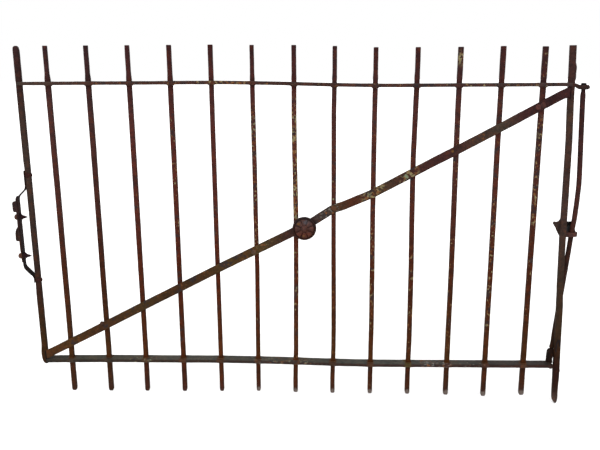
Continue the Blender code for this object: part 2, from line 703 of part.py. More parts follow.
def build_rod_guide(mats):
    """The forged guide: a winged plate behind the stile, a web behind the rod, a collar round it."""
    low, high = GUIDE_Z
    back = HALF_STILE + GAP
    bm = bmesh.new()
    wing = (
        (-0.0060, low), (-0.0060, high), (-0.0118, 0.5688), (-0.0150, 0.5778), (-0.0270, 0.5788),
        (-0.0300, 0.5733), (-0.0345, 0.5683), (-0.0400, 0.5658), (-0.0451, 0.5653), (-0.0464, 0.5620),
        (-0.0411, 0.5555), (-0.0360, 0.5475), (-0.0316, 0.5390), (-0.0270, 0.5315), (-0.0240, low),
    )
    add_prism(bm, wing, back, back + 0.0042)
    guide = finish_mesh("rod_guide", bm, mats["hardware"])

    bm = bmesh.new()
    web = ((-0.0105, low), (-0.0105, high), (0.0110, high), (0.0145, 0.5488), (0.0220, 0.5388), (0.0230, low))
    add_prism(bm, web, 0.0210, 0.0245)
    combine(guide, make_cutter("add_web", bm), "UNION")
    bm = bmesh.new()
    add_box(bm, (-0.0100, back + 0.0006, low + 0.0004), (-0.0062, 0.0240, high - 0.0004))
    combine(guide, make_cutter("add_bridge", bm), "UNION")
    bm = bmesh.new()
    collar = (
        (-0.0130, 0.0010), (0.0140, 0.0006), (0.0210, 0.0040), (0.0248, 0.0110),
        (0.0235, 0.0190), (0.0185, 0.0241), (-0.0095, 0.0241), (-0.0130, 0.0150),
    )
    add_loft(bm, [[(x, y, z) for x, y in collar] for z in (low - 0.0012, low + 0.0120)])
    combine(guide, make_cutter("add_collar", bm), "UNION")
    bm = bmesh.new()
    x, y, _ = ROD_LINE[GUIDE_STATION]
    add_turned(bm, (x, y, low), (0, 0, 1), ((-0.01, ROD_HOLE_RADIUS), (0.02, ROD_HOLE_RADIUS)))
    combine(guide, make_cutter("cut_guide", bm), "DIFFERENCE")


def main():
    """Build every piece."""
    clear_scene()
    mats = {
        "picket": iron("picket_iron", (0.085, 0.036, 0.026), 0.75, 0.3),
        "stile": iron("stile_iron", (0.070, 0.040, 0.028), 0.75, 0.3),
        "rail": iron("rail_iron", (0.070, 0.058, 0.048), 0.70, 0.3),
        "brace": iron("brace_iron", (0.085, 0.042, 0.032), 0.75, 0.3),
        "rosette": iron("rosette_iron", (0.100, 0.060, 0.050), 0.60, 0.4),
        "spring": iron("spring_steel", (0.030, 0.020, 0.018), 0.65, 0.4),
        "catch": iron("catch_iron", (0.050, 0.032, 0.026), 0.70, 0.3),
        "rod": iron("rod_iron", (0.070, 0.028, 0.024), 0.70, 0.3),
        "hardware": iron("hardware_iron", (0.060, 0.040, 0.030), 0.75, 0.3),
    }
    left, right = build_uprights(mats)
    pickets = build_pickets(mats)
    build_rails(mats)
    cut_stiles(left, right)
    build_brace(mats, pickets)
    build_latch(mats, left)
    build_hinge_rod(mats)
    build_rod_guide(mats)


main()
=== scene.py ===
"""Looks of the wrought-iron garden gate leaf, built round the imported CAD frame."""
import math

import bmesh
import bpy
import numpy as np
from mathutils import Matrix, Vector, noise


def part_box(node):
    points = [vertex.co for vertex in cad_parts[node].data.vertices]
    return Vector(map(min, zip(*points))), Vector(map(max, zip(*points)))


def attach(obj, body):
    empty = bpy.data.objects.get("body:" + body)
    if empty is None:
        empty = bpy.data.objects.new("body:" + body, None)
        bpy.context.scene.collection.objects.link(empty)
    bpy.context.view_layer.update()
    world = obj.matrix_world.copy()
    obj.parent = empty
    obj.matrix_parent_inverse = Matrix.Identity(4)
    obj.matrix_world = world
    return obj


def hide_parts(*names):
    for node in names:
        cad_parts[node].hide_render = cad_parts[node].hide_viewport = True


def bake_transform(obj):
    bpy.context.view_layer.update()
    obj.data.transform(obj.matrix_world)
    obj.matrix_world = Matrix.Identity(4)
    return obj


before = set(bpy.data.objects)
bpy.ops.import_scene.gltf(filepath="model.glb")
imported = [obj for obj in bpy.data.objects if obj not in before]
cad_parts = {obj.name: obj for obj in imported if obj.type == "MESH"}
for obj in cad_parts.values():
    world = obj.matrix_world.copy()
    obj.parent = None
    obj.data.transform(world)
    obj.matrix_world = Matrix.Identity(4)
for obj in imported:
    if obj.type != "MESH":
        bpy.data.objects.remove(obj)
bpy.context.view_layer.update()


def mm(*rows):
    """Rows of millimetres, in metres."""
    return [tuple(value / 1000.0 for value in row) for row in rows]


# ---------------- sizes, in metres or as rows of millimetres
GAP = 0.0003
PICKET_COUNT = 13
PITCH = 0.1144
PICKET = 0.0122
LAST_PICKET_X = -0.1087
PICKET_SET = {4: 0.0007, 5: 0.0006, 6: 0.0012, 7: 0.0019, 8: -0.001, 9: -0.0026, 10: -0.0038}
HALF_STILE = 0.0071
LATCH_STILE_X = -1.5634
LATCH_OUT = LATCH_STILE_X - HALF_STILE
LATCH_IN = LATCH_STILE_X + HALF_STILE
HINGE_STILE_LINE = mm(
    (0, -5), (80, -7.3), (330, -14.5), (515, -20.6),
    (640, -22.5), (800, -25.5), (900, -30), (1060.8, -35.7),
)
RAIL_THICK = 0.008
RAIL_DEPTH = 0.0332
TOP_RAIL_Z = 0.966
BOTTOM_RAIL_Z = 0.137
HINGE_SIDE_DROP = 0.01
BRACE_WIDTH = 0.0222
BRACE_THICK = 0.0055
BRACE_BACK_Y = -0.0074
BRACE_FRONT_Y = BRACE_BACK_Y - BRACE_THICK
BRACE_LINE = (
    (-1.5558, 0.1535), (-0.82, 0.5295), (-0.75, 0.5665), (-0.682, 0.61), (-0.658, 0.617), (-0.573, 0.6528),
    (-0.445, 0.721), (-0.049, 0.9335), (-0.0375, 0.9363),
)
BRACE_JOINT_X = -0.748
BRACE_WAVE = mm(
    (-1400, 0), (-1245, 1.6), (-1120, 1.9), (-1000, 2.7), (-885, 1.1), (-800, 0),
    (-400, 0), (-340, -1.3), (-190, -1.3), (-100, 0),
)
ROSETTE = Vector((-0.7661, BRACE_FRONT_Y - GAP, 0.552))
ROSETTE_RADIUS = 0.0347
EYE = Vector((0.002, 0.0, 0.9483))
EYE_RADIUS = 0.0165
EYE_THICK = 0.011
ROD_HOLE = 0.008
ROD_RADIUS = 0.00625
ROD_LINE = mm(
    (1.5, 0, 960), (1.5, 0, 928), (3.6, 1.4, 887), (6.6, 3, 832), (9.8, 4.5, 776), (13.5, 6.2, 712),
    (14.9, 7, 676), (14.1, 8.5, 630), (11.9, 10.5, 574), (7.8, 12.5, 530), (3.9, 14, 470),
    (-14.8, 14, 250), (-19.3, 14, 190), (-23.6, 10.5, 176.2),
)
STRAP_THICK = 0.0018
STRAP_DEPTH = 0.021
STRAP_BOW = 0.0278
STRAP_LINE = ((0.0, 0.72), (0.0, 0.668), (STRAP_BOW, 0.642), (STRAP_BOW, 0.431), (0.0, 0.401), (0.0, 0.383))
STRAP_RIVET_Z = {"upper": 0.7068, "lower": 0.3905}
STRAP_IN = LATCH_OUT - GAP - STRAP_BOW
PLATE_IN = STRAP_IN - STRAP_THICK - GAP
PLATE_OUT = PLATE_IN - 0.005
EAR_TIP = PLATE_OUT - 0.012
BOLT_Z = {"upper": 0.5824, "lower": 0.4648}
TOP_LIMIT = 1.0682        # no picket reaches above this, inside the CAD's height
HAMMER_MARKS = 55.0       # waves of the surface per metre: hammering and scale
PITS = 230.0              # and pitting


# ---------------- shape helpers
def on_line(line, position):
    """Linear interpolation in a table of (position, value)."""
    return float(np.interp(position, [p for p, _ in line], [v for _, v in line]))


def picket_x(number):
    """Middle of a picket, 1 to 13 from the latch side."""
    return LAST_PICKET_X + (number - PICKET_COUNT) * PITCH + PICKET_SET.get(number, 0.0)


def smooth(t):
    """An S-curve from 0 to 1."""
    t = min(max(t, 0.0), 1.0)
    return t * t * (3.0 - 2.0 * t)


def drop(x):
    """How far the leaf has sunk at x."""
    start = LAST_PICKET_X + (5.0 - PICKET_COUNT) * PITCH
    end = LAST_PICKET_X + (9.5 - PICKET_COUNT) * PITCH
    return HINGE_SIDE_DROP * smooth((x - start) / (end - start))


def brace_z(x):
    """Middle height of the brace at x."""
    return on_line(BRACE_LINE, x) + on_line(BRACE_WAVE, x)


def hump(x, centre, width):
    """A bell of height 1."""
    return math.exp(-(((x - centre) / width) ** 2))


def waver(a, b, c):
    """Smooth noise, about -1 to 1."""
    return noise.noise(Vector((a, b, c)))


def section(half_a, half_b, radius, corner=3, side=3):
    """Points round a rectangle with rounded corners and extra points along its sides."""
    radius = min(radius, half_a * 0.95, half_b * 0.95)
    arcs = []
    for sign_a, sign_b, start in ((1, 1, 0), (-1, 1, 90), (-1, -1, 180), (1, -1, 270)):
        centre = (sign_a * (half_a - radius), sign_b * (half_b - radius))
        arcs.append([
            (centre[0] + radius * math.cos(math.radians(a)), centre[1] + radius * math.sin(math.radians(a)))
            for a in (start + 90.0 * i / corner for i in range(corner + 1))
        ])
    points = []
    for arc, following in zip(arcs, arcs[1:] + arcs[:1]):
        points += arc
        (a0, b0), (a1, b1) = arc[-1], following[0]
        for k in range(1, side + 1):
            points.append((a0 + (a1 - a0) * k / (side + 1), b0 + (b1 - b0) * k / (side + 1)))
    return points


def level_ring(x, y, z, points):
    """Points round an outline, lying level at a height."""
    return [(x + a, y + b, z) for a, b in points]


def add_loft(bm, rings):
    """One closed shell through rings of points, closed at each end by a fan."""
    loops = [[bm.verts.new(point) for point in ring] for ring in rings]
    count = len(loops[0])
    for low, high in zip(loops, loops[1:]):
        for i in range(count):
            j = (i + 1) % count
            bm.faces.new((low[i], low[j], high[j], high[i]))
    for loop, ring in ((loops[0], rings[0]), (loops[-1], rings[-1])):
        middle = bm.verts.new(sum((Vector(p) for p in ring), Vector()) / count)
        for i in range(count):
            bm.faces.new((loop[i], loop[(i + 1) % count], middle))


def show(name, data):
    """A new object in the scene."""
    obj = bpy.data.objects.new(name, data)
    bpy.context.scene.collection.objects.link(obj)
    return obj


def make(name, bm, smooth_angle=50.0):
    """A scene object from closed shells, smooth except at sharp edges."""
    bmesh.ops.recalc_face_normals(bm, faces=bm.faces)
    mesh = bpy.data.meshes.new(name)
    bm.to_mesh(mesh)
    bm.free()
    mesh.shade_smooth()
    mesh.set_sharp_from_angle(angle=math.radians(smooth_angle))
    return show(name, mesh)


def bake_modifiers(obj):
    """Replace an object's mesh by what its modifiers make of it."""
    graph = bpy.context.evaluated_depsgraph_get()
    mesh = bpy.data.meshes.new_from_object(obj.evaluated_get(graph))
    obj.modifiers.clear()
    obj.data = mesh


def forge(obj, voxel, rounds=3):
    """Weld an object's overlapping shells into one lump with soft edges."""
    remesh = obj.modifiers.new("weld", "REMESH")
    remesh.mode = "VOXEL"
    remesh.voxel_size = voxel
    soften = obj.modifiers.new("soften", "SMOOTH")
    soften.iterations = rounds
    bake_modifiers(obj)
    obj.data.shade_smooth()
    return obj


def drill(obj, bm):
    """Cut the shells of a bmesh out of an object."""
    cutter = make(obj.name + "_drill", bm)
    cut = obj.modifiers.new("drill", "BOOLEAN")
    cut.operation = "DIFFERENCE"
    cut.solver = "EXACT"
    cut.object = cutter
    bake_modifiers(obj)
    bpy.data.objects.remove(cutter)
    obj.data.shade_smooth()
    obj.data.set_sharp_from_angle(angle=math.radians(50.0))


def weather(obj, coarse, fine, seed):
    """Push the surface in and out: hammering and scale (coarse) and pitting (fine), in metres."""
    mesh = obj.data
    count = len(mesh.vertices)
    co = np.zeros(count * 3)
    normals = np.zeros(count * 3, np.float32)
    mesh.vertices.foreach_get("co", co)
    mesh.vertex_normals.foreach_get("vector", normals)
    co = co.reshape(-1, 3)
    shift = np.array([
        coarse * noise.noise(Vector(p * HAMMER_MARKS + seed)) + fine * noise.noise(Vector(p * PITS - seed))
        for p in co
    ])
    co += normals.reshape(-1, 3) * shift[:, None]
    mesh.vertices.foreach_set("co", co.ravel())
    mesh.update()
    return obj


def rounded_path(points, cut):
    """A path whose corners are eased over at most `cut` on either side."""
    points = [Vector(p) for p in points]
    path = [points[0]]
    for before, corner, after in zip(points, points[1:], points[2:]):
        into = corner - before
        out = after - corner
        start = corner - into.normalized() * min(cut, into.length * 0.48)
        end = corner + out.normalized() * min(cut, out.length * 0.48)
        for k in range(7):
            t = k / 6
            path.append(start * (1 - t) ** 2 + corner * (2 * t * (1 - t)) + end * t ** 2)
    path.append(points[-1])
    return path


def resample(path, step):
    """Evenly spaced points along a path."""
    lengths = [0.0]
    for a, b in zip(path, path[1:]):
        lengths.append(lengths[-1] + (b - a).length)
    count = max(2, round(lengths[-1] / step))
    at = np.linspace(0.0, lengths[-1], count + 1)
    table = np.array([list(p) for p in path])
    return [Vector(p) for p in zip(*(np.interp(at, lengths, table[:, i]) for i in range(3)))]


def sweep_rings(path, section_at):
    """Rings along a path that stays near an upright plane in X.

    section_at(index, point) gives (a, b) points.
    """
    rings = []
    for i, point in enumerate(path):
        along = (path[min(i + 1, len(path) - 1)] - path[max(i - 1, 0)]).normalized()
        deep = (Vector((0, 1, 0)) - along * along.y).normalized()
        across = deep.cross(along)
        rings.append([point + across * a + deep * b for a, b in section_at(i, point)])
    return rings


def turned(bm, origin, axis, profile, sides=24):
    """A turned shell: profile holds (distance along the axis, radius) pairs."""
    axis = Vector(axis).normalized()
    across = axis.orthogonal().normalized()
    other = axis.cross(across)
    add_loft(bm, [
        [
            Vector(origin) + axis * d + (across * math.cos(a) + other * math.sin(a)) * r
            for a in (2.0 * math.pi * i / sides for i in range(sides))
        ]
        for d, r in profile
    ])


def fill_profile(profile, step):
    """Extra stations between the corners of a turned profile."""
    out = [profile[0]]
    for (d0, r0), (d1, r1) in zip(profile, profile[1:]):
        parts = max(1, round(math.hypot(d1 - d0, r1 - r0) / step))
        out += [(d0 + (d1 - d0) * k / parts, r0 + (r1 - r0) * k / parts) for k in range(1, parts + 1)]
    return out


def block(bm, low, high, radius=0.0015):
    """A box with rounded upright edges."""
    x, y = (low[0] + high[0]) / 2, (low[1] + high[1]) / 2
    ring = section((high[0] - low[0]) / 2, (high[1] - low[1]) / 2, radius, side=2)
    add_loft(bm, [level_ring(x, y, z, ring) for z in (low[2], high[2])])


def prism(bm, outline, low_y, high_y):
    """An outline of (X, Z) points, extruded in Y."""
    add_loft(bm, [[(x, y, z) for x, z in outline] for y in (low_y, high_y)])


def lofted_iron(name, rings, coarse, fine, seed):
    """A weathered piece through rings of points."""
    bm = bmesh.new()
    add_loft(bm, rings)
    return weather(make(name, bm), coarse, fine, seed)


def turned_iron(name, origin, axis, profile, step, coarse, fine, seed, sides=24):
    """A weathered turned piece."""
    bm = bmesh.new()
    turned(bm, origin, axis, fill_profile(profile, step), sides)
    return weather(make(name, bm), coarse, fine, seed)


def ridge(name, x, out, points, cut, step, half_wide, half_tall, seed):
    """A raised strip `out` of a stile's front, along points of (distance from x, Z). It makes the forging
    fold, and the near-black strips of painted shadow where the brace ends meet the stiles.
    """
    line = [(x + dx, -HALF_STILE - out, z) for dx, z in points]
    shape = section(half_wide, half_tall, half_tall - 0.0001, corner=2, side=0)
    rings = sweep_rings(resample(rounded_path(line, cut), step), lambda i, p: shape)
    return lofted_iron(name, rings, 0.0003, 0.0002, seed)


def settle(obj, material, slot, *nodes, body="leaf"):
    """Give a piece its finish, the CAD nodes that it stands for and its body."""
    obj.data.materials.clear()
    obj.data.materials.append(material)
    if body:
        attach(obj, body)
    if nodes:
        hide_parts(*nodes)
    return obj


# ---------------- materials
LIGHT = 1.78      # how brightly the lights show a front face
SHEEN = 0.005     # what its dull gloss adds


def colour(red, green, blue):
    """The surface colour that shows as these 0 to 255 display values under the lights."""
    linear = [((v / 255 + 0.055) / 1.055) ** 2.4 for v in (red, green, blue)]
    return (*(max(v - SHEEN, 0.0012) / LIGHT for v in linear), 1.0)


def set_inputs(node, **values):
    """Set a node's inputs; an underscore stands for the space in a name."""
    for name, value in values.items():
        node.inputs[name.replace("_", " ")].default_value = value


class Finish:
    """A material under construction: short calls that add nodes and return their outputs."""

    def __init__(self, name, seed):
        self.material = bpy.data.materials.new(name)
        self.material.use_nodes = True
        self.tree = self.material.node_tree
        self.shader = self.tree.nodes["Principled BSDF"]
        place = self.add("ShaderNodeTexCoord").outputs["Object"]
        axes = self.add("ShaderNodeSeparateXYZ")
        self.link(place, axes.inputs[0])
        self.x, self.y, self.z = axes.outputs
        shift = self.add("ShaderNodeVectorMath")
        shift.operation = "ADD"
        shift.inputs[1].default_value = (seed * 1.7, seed * 0.9, seed * 2.3)
        self.link(place, shift.inputs[0])
        self.seeded = shift.outputs[0]

    def add(self, kind, **values):
        """A new node with its named inputs set."""
        node = self.tree.nodes.new(kind)
        set_inputs(node, **values)
        return node

    def link(self, output, socket):
        self.tree.links.new(output, socket)

    def put(self, value, socket):
        """Link an output to a socket, or set the socket to a plain value."""
        if hasattr(value, "is_output"):
            self.link(value, socket)
        else:
            socket.default_value = value

    def stretched(self, factors):
        """The seeded position scaled by a factor for each axis."""
        node = self.add("ShaderNodeVectorMath")
        node.operation = "MULTIPLY"
        node.inputs[1].default_value = factors
        self.link(self.seeded, node.inputs[0])
        return node.outputs[0]

    def noise(self, scale, detail=3.0, rough=0.55, stretch=None):
        node = self.add("ShaderNodeTexNoise", Scale=scale, Detail=detail, Roughness=rough)
        self.link(self.stretched(stretch) if stretch else self.seeded, node.inputs["Vector"])
        return node.outputs["Fac"]

    def cells(self, scale):
        node = self.add("ShaderNodeTexVoronoi", Scale=scale, Randomness=1.0)
        self.link(self.seeded, node.inputs["Vector"])
        return node.outputs["Distance"]

    def upward(self):
        """How far the surface faces up, -1 to 1."""
        axes = self.add("ShaderNodeSeparateXYZ")
        self.link(self.add("ShaderNodeNewGeometry").outputs["Normal"], axes.inputs[0])
        return axes.outputs[2]

    def math(self, operation, a, b=0.0):
        node = self.add("ShaderNodeMath")
        node.operation = operation
        self.put(a, node.inputs[0])
        self.put(b, node.inputs[1])
        return node.outputs[0]

    def plus(self, a, b):
        return self.math("ADD", a, b)

    def minus(self, a, b):
        return self.math("SUBTRACT", a, b)

    def times(self, a, b):
        return self.math("MULTIPLY", a, b)

    def step(self, value, low, high):
        """0 below low, 1 above high, smooth between."""
        node = self.add("ShaderNodeMapRange", From_Min=low, From_Max=high)
        node.interpolation_type = "SMOOTHSTEP"
        self.put(value, node.inputs["Value"])
        return node.outputs["Result"]

    def between(self, value, low, high, soft):
        """1 between low and high, 0 outside, with soft ends."""
        rise = self.step(value, low - soft, low + soft)
        return self.minus(rise, self.step(value, high - soft, high + soft))

    def mix(self, share, a, b, kind="MIX"):
        node = self.add("ShaderNodeMix")
        node.data_type = "RGBA"
        node.blend_type = kind
        self.put(share, node.inputs["Factor"])
        self.put(a, node.inputs["A"])
        self.put(b, node.inputs["B"])
        return node.outputs["Result"]

    def ramp(self, value, stops):
        """Stops are (position, colour)."""
        node = self.add("ShaderNodeValToRGB")
        elements = node.color_ramp.elements
        while len(elements) < len(stops):
            elements.new(0.5)
        for element, (position, rgba) in zip(elements, stops):
            element.position = position
            element.color = rgba
        self.put(value, node.inputs["Fac"])
        return node.outputs["Color"]

    def bands(self, value, stops, wander):
        """A colour that changes along a length: stops are (position in metres, red, green, blue)."""
        low, high = stops[0][0], stops[-1][0]
        wandering = self.plus(value, self.times(self.minus(self.noise(14.0), 0.5), wander))
        share = self.math("DIVIDE", self.minus(wandering, low), high - low)
        return self.ramp(share, [((p - low) / (high - low), colour(*shade)) for p, *shade in stops])


def grey(level):
    """A linear grey."""
    return (level, level, level, 1.0)


def rust(name, seed, base, bloom=0.5, dark=0.6, scale=1.0, flecks=(), along="x", patches=(),
         rough=0.82):
    """Old painted iron gone to rust.

    base: display values, or a function of the finish that returns a colour.
    bloom: how much orange rust breaks through. dark: how dark the old scale's blotches are.
    flecks: (low, high, amount, display values) stretches of flaking paint along an axis.
    patches: (x, z, radius, display values) spots of their own colour.
    """
    f = Finish(name, seed)
    tone = base(f) if callable(base) else colour(*base)
    blotch = f.ramp(f.noise(38.0 * scale, 4.0, 0.6), [
        (0.3, (dark, dark, dark, 1.0)), (0.5, grey(1.0)), (0.72, (1.28, 1.12, 1.02, 1.0)),
    ])
    tone = f.mix(1.0, tone, blotch, "MULTIPLY")
    mottle = f.ramp(f.noise(115.0 * scale, 4.0, 0.62), [
        (0.3, (0.6, 0.72, 0.86, 1.0)), (0.5, grey(1.0)), (0.7, (1.42, 1.14, 0.92, 1.0)),
    ])
    tone = f.mix(0.85, tone, mottle, "MULTIPLY")
    speck = f.ramp(f.noise(360.0 * scale, 2.0, 0.6), [
        (0.3, grey(0.62)), (0.52, grey(1.0)), (0.76, grey(1.42)),
    ])
    tone = f.mix(0.8, tone, speck, "MULTIPLY")
    rusty = f.times(f.step(f.noise(62.0 * scale, 5.0, 0.65), 0.56, 0.66), bloom)
    tone = f.mix(rusty, tone, f.mix(f.noise(170.0), colour(92, 42, 22), colour(116, 62, 30)))
    for x, z, radius, spot in patches:
        reach = f.math("SQRT", f.math("ADD",
            f.math("POWER", f.minus(f.x, x), 2.0), f.math("POWER", f.minus(f.z, z), 2.0)))
        edge = f.plus(reach, f.times(f.minus(f.noise(120.0), 0.5), radius * 1.2))
        near = f.minus(1.0, f.step(edge, radius * 0.55, radius))
        tone = f.mix(near, tone, f.mix(0.7, colour(*spot), speck, "MULTIPLY"))
    for low, high, amount, paint in flecks:
        stretch = f.between(getattr(f, along), low, high, 0.02)
        bare = f.times(f.step(f.noise(48.0, 3.0), 0.6 - 0.08 * amount, 0.66 - 0.08 * amount), stretch)
        tone = f.mix(f.times(bare, 0.75), tone, f.mix(1.0, colour(52, 46, 48), mottle, "MULTIPLY"))
        flake = f.noise(165.0, 3.0, 0.55, (1.0, 1.0, 0.7) if along == "z" else (0.7, 1.0, 1.0))
        limit = 0.7 - 0.16 * amount
        shown = f.times(f.step(flake, limit, limit + 0.03), stretch)
        hue = f.step(f.noise(85.0), 0.42, 0.58)
        shade = f.mix(hue, colour(124, 78, 44), colour(*paint))
        tone = f.mix(shown, tone, f.mix(0.8, shade, speck, "MULTIPLY"))
    f.link(tone, f.shader.inputs["Base Color"])
    f.link(f.plus(rough - 0.14, f.times(f.noise(120.0 * scale), 0.28)), f.shader.inputs["Roughness"])
    set_inputs(f.shader, Metallic=0.0, Specular_IOR_Level=0.1)
    bump = f.add("ShaderNodeBump", Strength=0.6, Distance=0.0009)
    grain = f.plus(f.noise(420.0, 3.0, 0.6), f.times(f.cells(170.0), 0.6))
    f.link(grain, bump.inputs["Height"])
    f.link(bump.outputs[0], f.shader.inputs["Normal"])
    return f.material


CREAM = (150, 138, 100)
MINT = (128, 136, 108)
TAN = (112, 78, 42)

PICKET_BANDS = (
    (0.02, 84, 70, 68), (0.042, 66, 40, 31), (0.07, 66, 37, 22), (0.115, 68, 37, 20), (0.15, 75, 44, 20),
    (0.25, 71, 39, 19), (0.43, 73, 36, 21), (0.61, 78, 42, 34), (0.75, 79, 44, 38), (0.9, 76, 46, 43),
    (0.99, 67, 40, 39), (1.065, 60, 36, 37),
)
PICKET_FLECKS = {
    2: ((0.06, 0.1, 0.3, CREAM),),
    3: ((0.6, 0.75, 0.45, TAN),),
    4: ((0.5, 0.9, 0.55, CREAM), (0.15, 0.5, 0.2, CREAM)),
    5: ((0.52, 0.62, 0.55, TAN), (0.3, 0.5, 0.3, TAN)),
    6: ((0.76, 0.9, 1.05, MINT), (0.48, 0.76, 0.75, CREAM), (0.2, 0.36, 0.4, CREAM)),
    7: ((0.575, 0.92, 1.15, CREAM), (0.24, 0.5, 0.65, CREAM), (0.08, 0.24, 0.3, TAN)),
    8: ((0.56, 0.8, 0.35, CREAM), (0.16, 0.4, 0.55, TAN)),
    9: ((0.24, 0.56, 0.8, CREAM), (0.6, 0.96, 0.5, CREAM), (0.06, 0.12, 0.5, CREAM)),
    10: ((0.18, 0.5, 0.6, CREAM), (0.62, 0.8, 0.3, TAN)),
    11: ((1.015, 1.045, 1.3, CREAM), (0.66, 0.86, 0.6, CREAM), (0.18, 0.55, 0.45, CREAM)),
    12: ((0.24, 0.64, 0.75, CREAM), (0.68, 0.92, 0.6, TAN)),
    13: ((0.56, 0.86, 0.8, CREAM), (0.97, 1.04, 0.6, CREAM), (0.28, 0.5, 0.35, CREAM)),
}
PICKET_TINT = {
    1: (1.0, 1.04, 1.06), 2: (0.94, 0.98, 1.0), 3: (1.06, 0.98, 0.98), 4: (1.06, 0.92, 0.88),
    5: (1.08, 0.98, 0.96), 6: (1.06, 0.98, 0.94), 7: (1.08, 1.0, 0.98), 9: (1.04, 0.98, 0.94),
    10: (0.98, 0.92, 0.9), 12: (1.02, 0.96, 0.9), 13: (0.98, 0.96, 0.92),
}


def picket_finish(number):
    """One picket's rust, with its own flaking paint."""
    tint = PICKET_TINT.get(number, (1.0, 1.0, 1.0))
    stops = [(p, *(v * share for v, share in zip(shade, tint))) for p, *shade in PICKET_BANDS]
    tip = ()
    if number >= 6:
        low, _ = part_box(f"picket_{number:02d}")
        tip = ((bar_x(number, low.z), low.z + 0.006, 0.013, (112, 99, 93)),)
    return rust(
        f"picket_{number:02d}_rust", number * 3.1, lambda f: f.bands(f.z, stops, 0.1),
        bloom=0.35, dark=0.62, flecks=PICKET_FLECKS.get(number, ()), along="z", patches=tip,
    )


# ---------------- bars
# Bends are (height, distance off the straight line) in millimetres. PICKET_SHARE is a bar's width over
# PICKET, HEAD_SHARE its top's width over that. TALLER and LONGER are added to its top and bottom.
PICKET_BENDS = {
    1: ((140, 0), (300, 0.6), (600, 0.6), (850, 0), (1030, -0.7)),
    2: ((80, 0.3), (180, 1), (350, 0.2), (800, -0.3), (1030, -1.2)),
    3: ((40, -1.2), (140, 0), (900, 0), (1030, -0.6)),
    5: ((80, 1.1), (260, 0.5), (500, 0)),
    6: ((80, -0.8), (180, 0), (430, 2.2), (600, 1), (760, 0.5), (900, -0.5)),
    7: ((80, -2.1), (180, 0.1), (430, 2.2), (580, 2.6), (760, 0.3), (880, -1.1), (1000, 0)),
    8: ((80, -0.6), (180, 2), (260, 2.1), (450, 0.8), (880, -0.9), (1000, 0.8)),
    9: ((80, 1), (260, 2), (430, 1.3), (580, -0.1), (880, -0.2), (1000, 0.7)),
    10: ((80, 1.7), (200, 3), (430, 2.1), (580, -0.4), (760, -1.9), (1000, 2.1)),
    11: ((80, 0.5), (260, 0.8), (430, 1.5), (600, 0.6), (880, -0.8), (1000, -0.3)),
    12: ((80, 0.5), (430, 1), (760, -0.3), (1000, 0.2)),
    13: ((80, 1.1), (260, 0.9), (430, 0), (1000, -0.3)),
}
PICKET_SHARE = {
    1: 1.13, 2: 1.13, 3: 1.11, 4: 1.12, 5: 1.06, 6: 1.06, 7: 1.13, 8: 1.11, 9: 1.15, 10: 1.15, 11: 1.16,
    12: 1.13, 13: 1.17,
}
HEAD_SHARE = {1: 0.81, 2: 0.84, 3: 0.88, 4: 0.91, 6: 0.9, 7: 0.93, 8: 0.91, 9: 0.89, 10: 0.93}
TALLER = {4: 0.0022, 5: 0.0018, 7: 0.0018, 8: 0.0018, 12: 0.0014}
LONGER = {4: 0.0014, 5: 0.0016, 11: 0.002, 12: 0.002, 13: 0.0014}


def bar_x(number, z):
    """Middle of a picket at a height."""
    table = PICKET_BENDS.get(number)
    return picket_x(number) + (on_line(mm(*table), z) if table else 0.0)


def bar_half(number):
    """Half the width of a picket."""
    return PICKET / 2 * PICKET_SHARE[number]


def build_pickets():
    """Thirteen hammered square bars with drawn, worn lower ends."""
    for number in range(1, PICKET_COUNT + 1):
        low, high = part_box(f"picket_{number:02d}")
        half = bar_half(number)
        bottom = low.z + 0.0004 - LONGER.get(number, 0.0)
        top = min(high.z - 0.0004 + TALLER.get(number, 0.0), TOP_LIMIT)
        # (distance from the tip, share of the full width)
        ends = ((0.0, 0.4), (0.0007, 0.58), (0.0018, 0.74), (0.0038, 0.89), (0.007, 0.97), (0.011, 1.0))
        heads = ((0.0, 0.84), (0.0005, 0.93), (0.0014, 0.985), (0.003, 1.0))
        heights = [bottom + d for d, _ in ends]
        shares = [s for _, s in ends]
        middle = np.arange(bottom + 0.015, top - 0.005, 0.0042)
        heights += list(middle) + [top - d for d, _ in reversed(heads)]
        shares += [1.0] * len(middle) + [s for _, s in reversed(heads)]
        rings = []
        for z, share in zip(heights, shares):
            sway = 0.00045 * waver(number * 7.3, 0.0, z * 5.0)
            swell = 1.0 + 0.022 * waver(number * 3.7, 4.0, z * 16.0)
            twist = 0.05 * waver(number * 5.1, 8.0, z * 4.0)
            head = 1.0 + (HEAD_SHARE.get(number, 1.0) - 1.0) * smooth((z - 0.975) / 0.02)
            size = half * share * swell * head
            ring = section(size, size, 0.0016)
            cos, sin = math.cos(twist), math.sin(twist)
            middle_x = bar_x(number, z) + sway
            rings.append([(middle_x + a * cos - b * sin, a * sin + b * cos, z) for a, b in ring])
        bar = lofted_iron(f"bar_{number:02d}", rings, 0.00022, 0.00016, number * 11.0)
        settle(bar, picket_finish(number), "picket_iron", f"picket_{number:02d}")


def rail_z(level, x):
    """Middle height of a rail at x."""
    dip = 0.0
    if level == BOTTOM_RAIL_Z:
        dip = on_line(((LATCH_IN, 0.0028), (-1.48, 0.0012), (-1.38, 0.0)), x)
    return level - drop(x) - dip


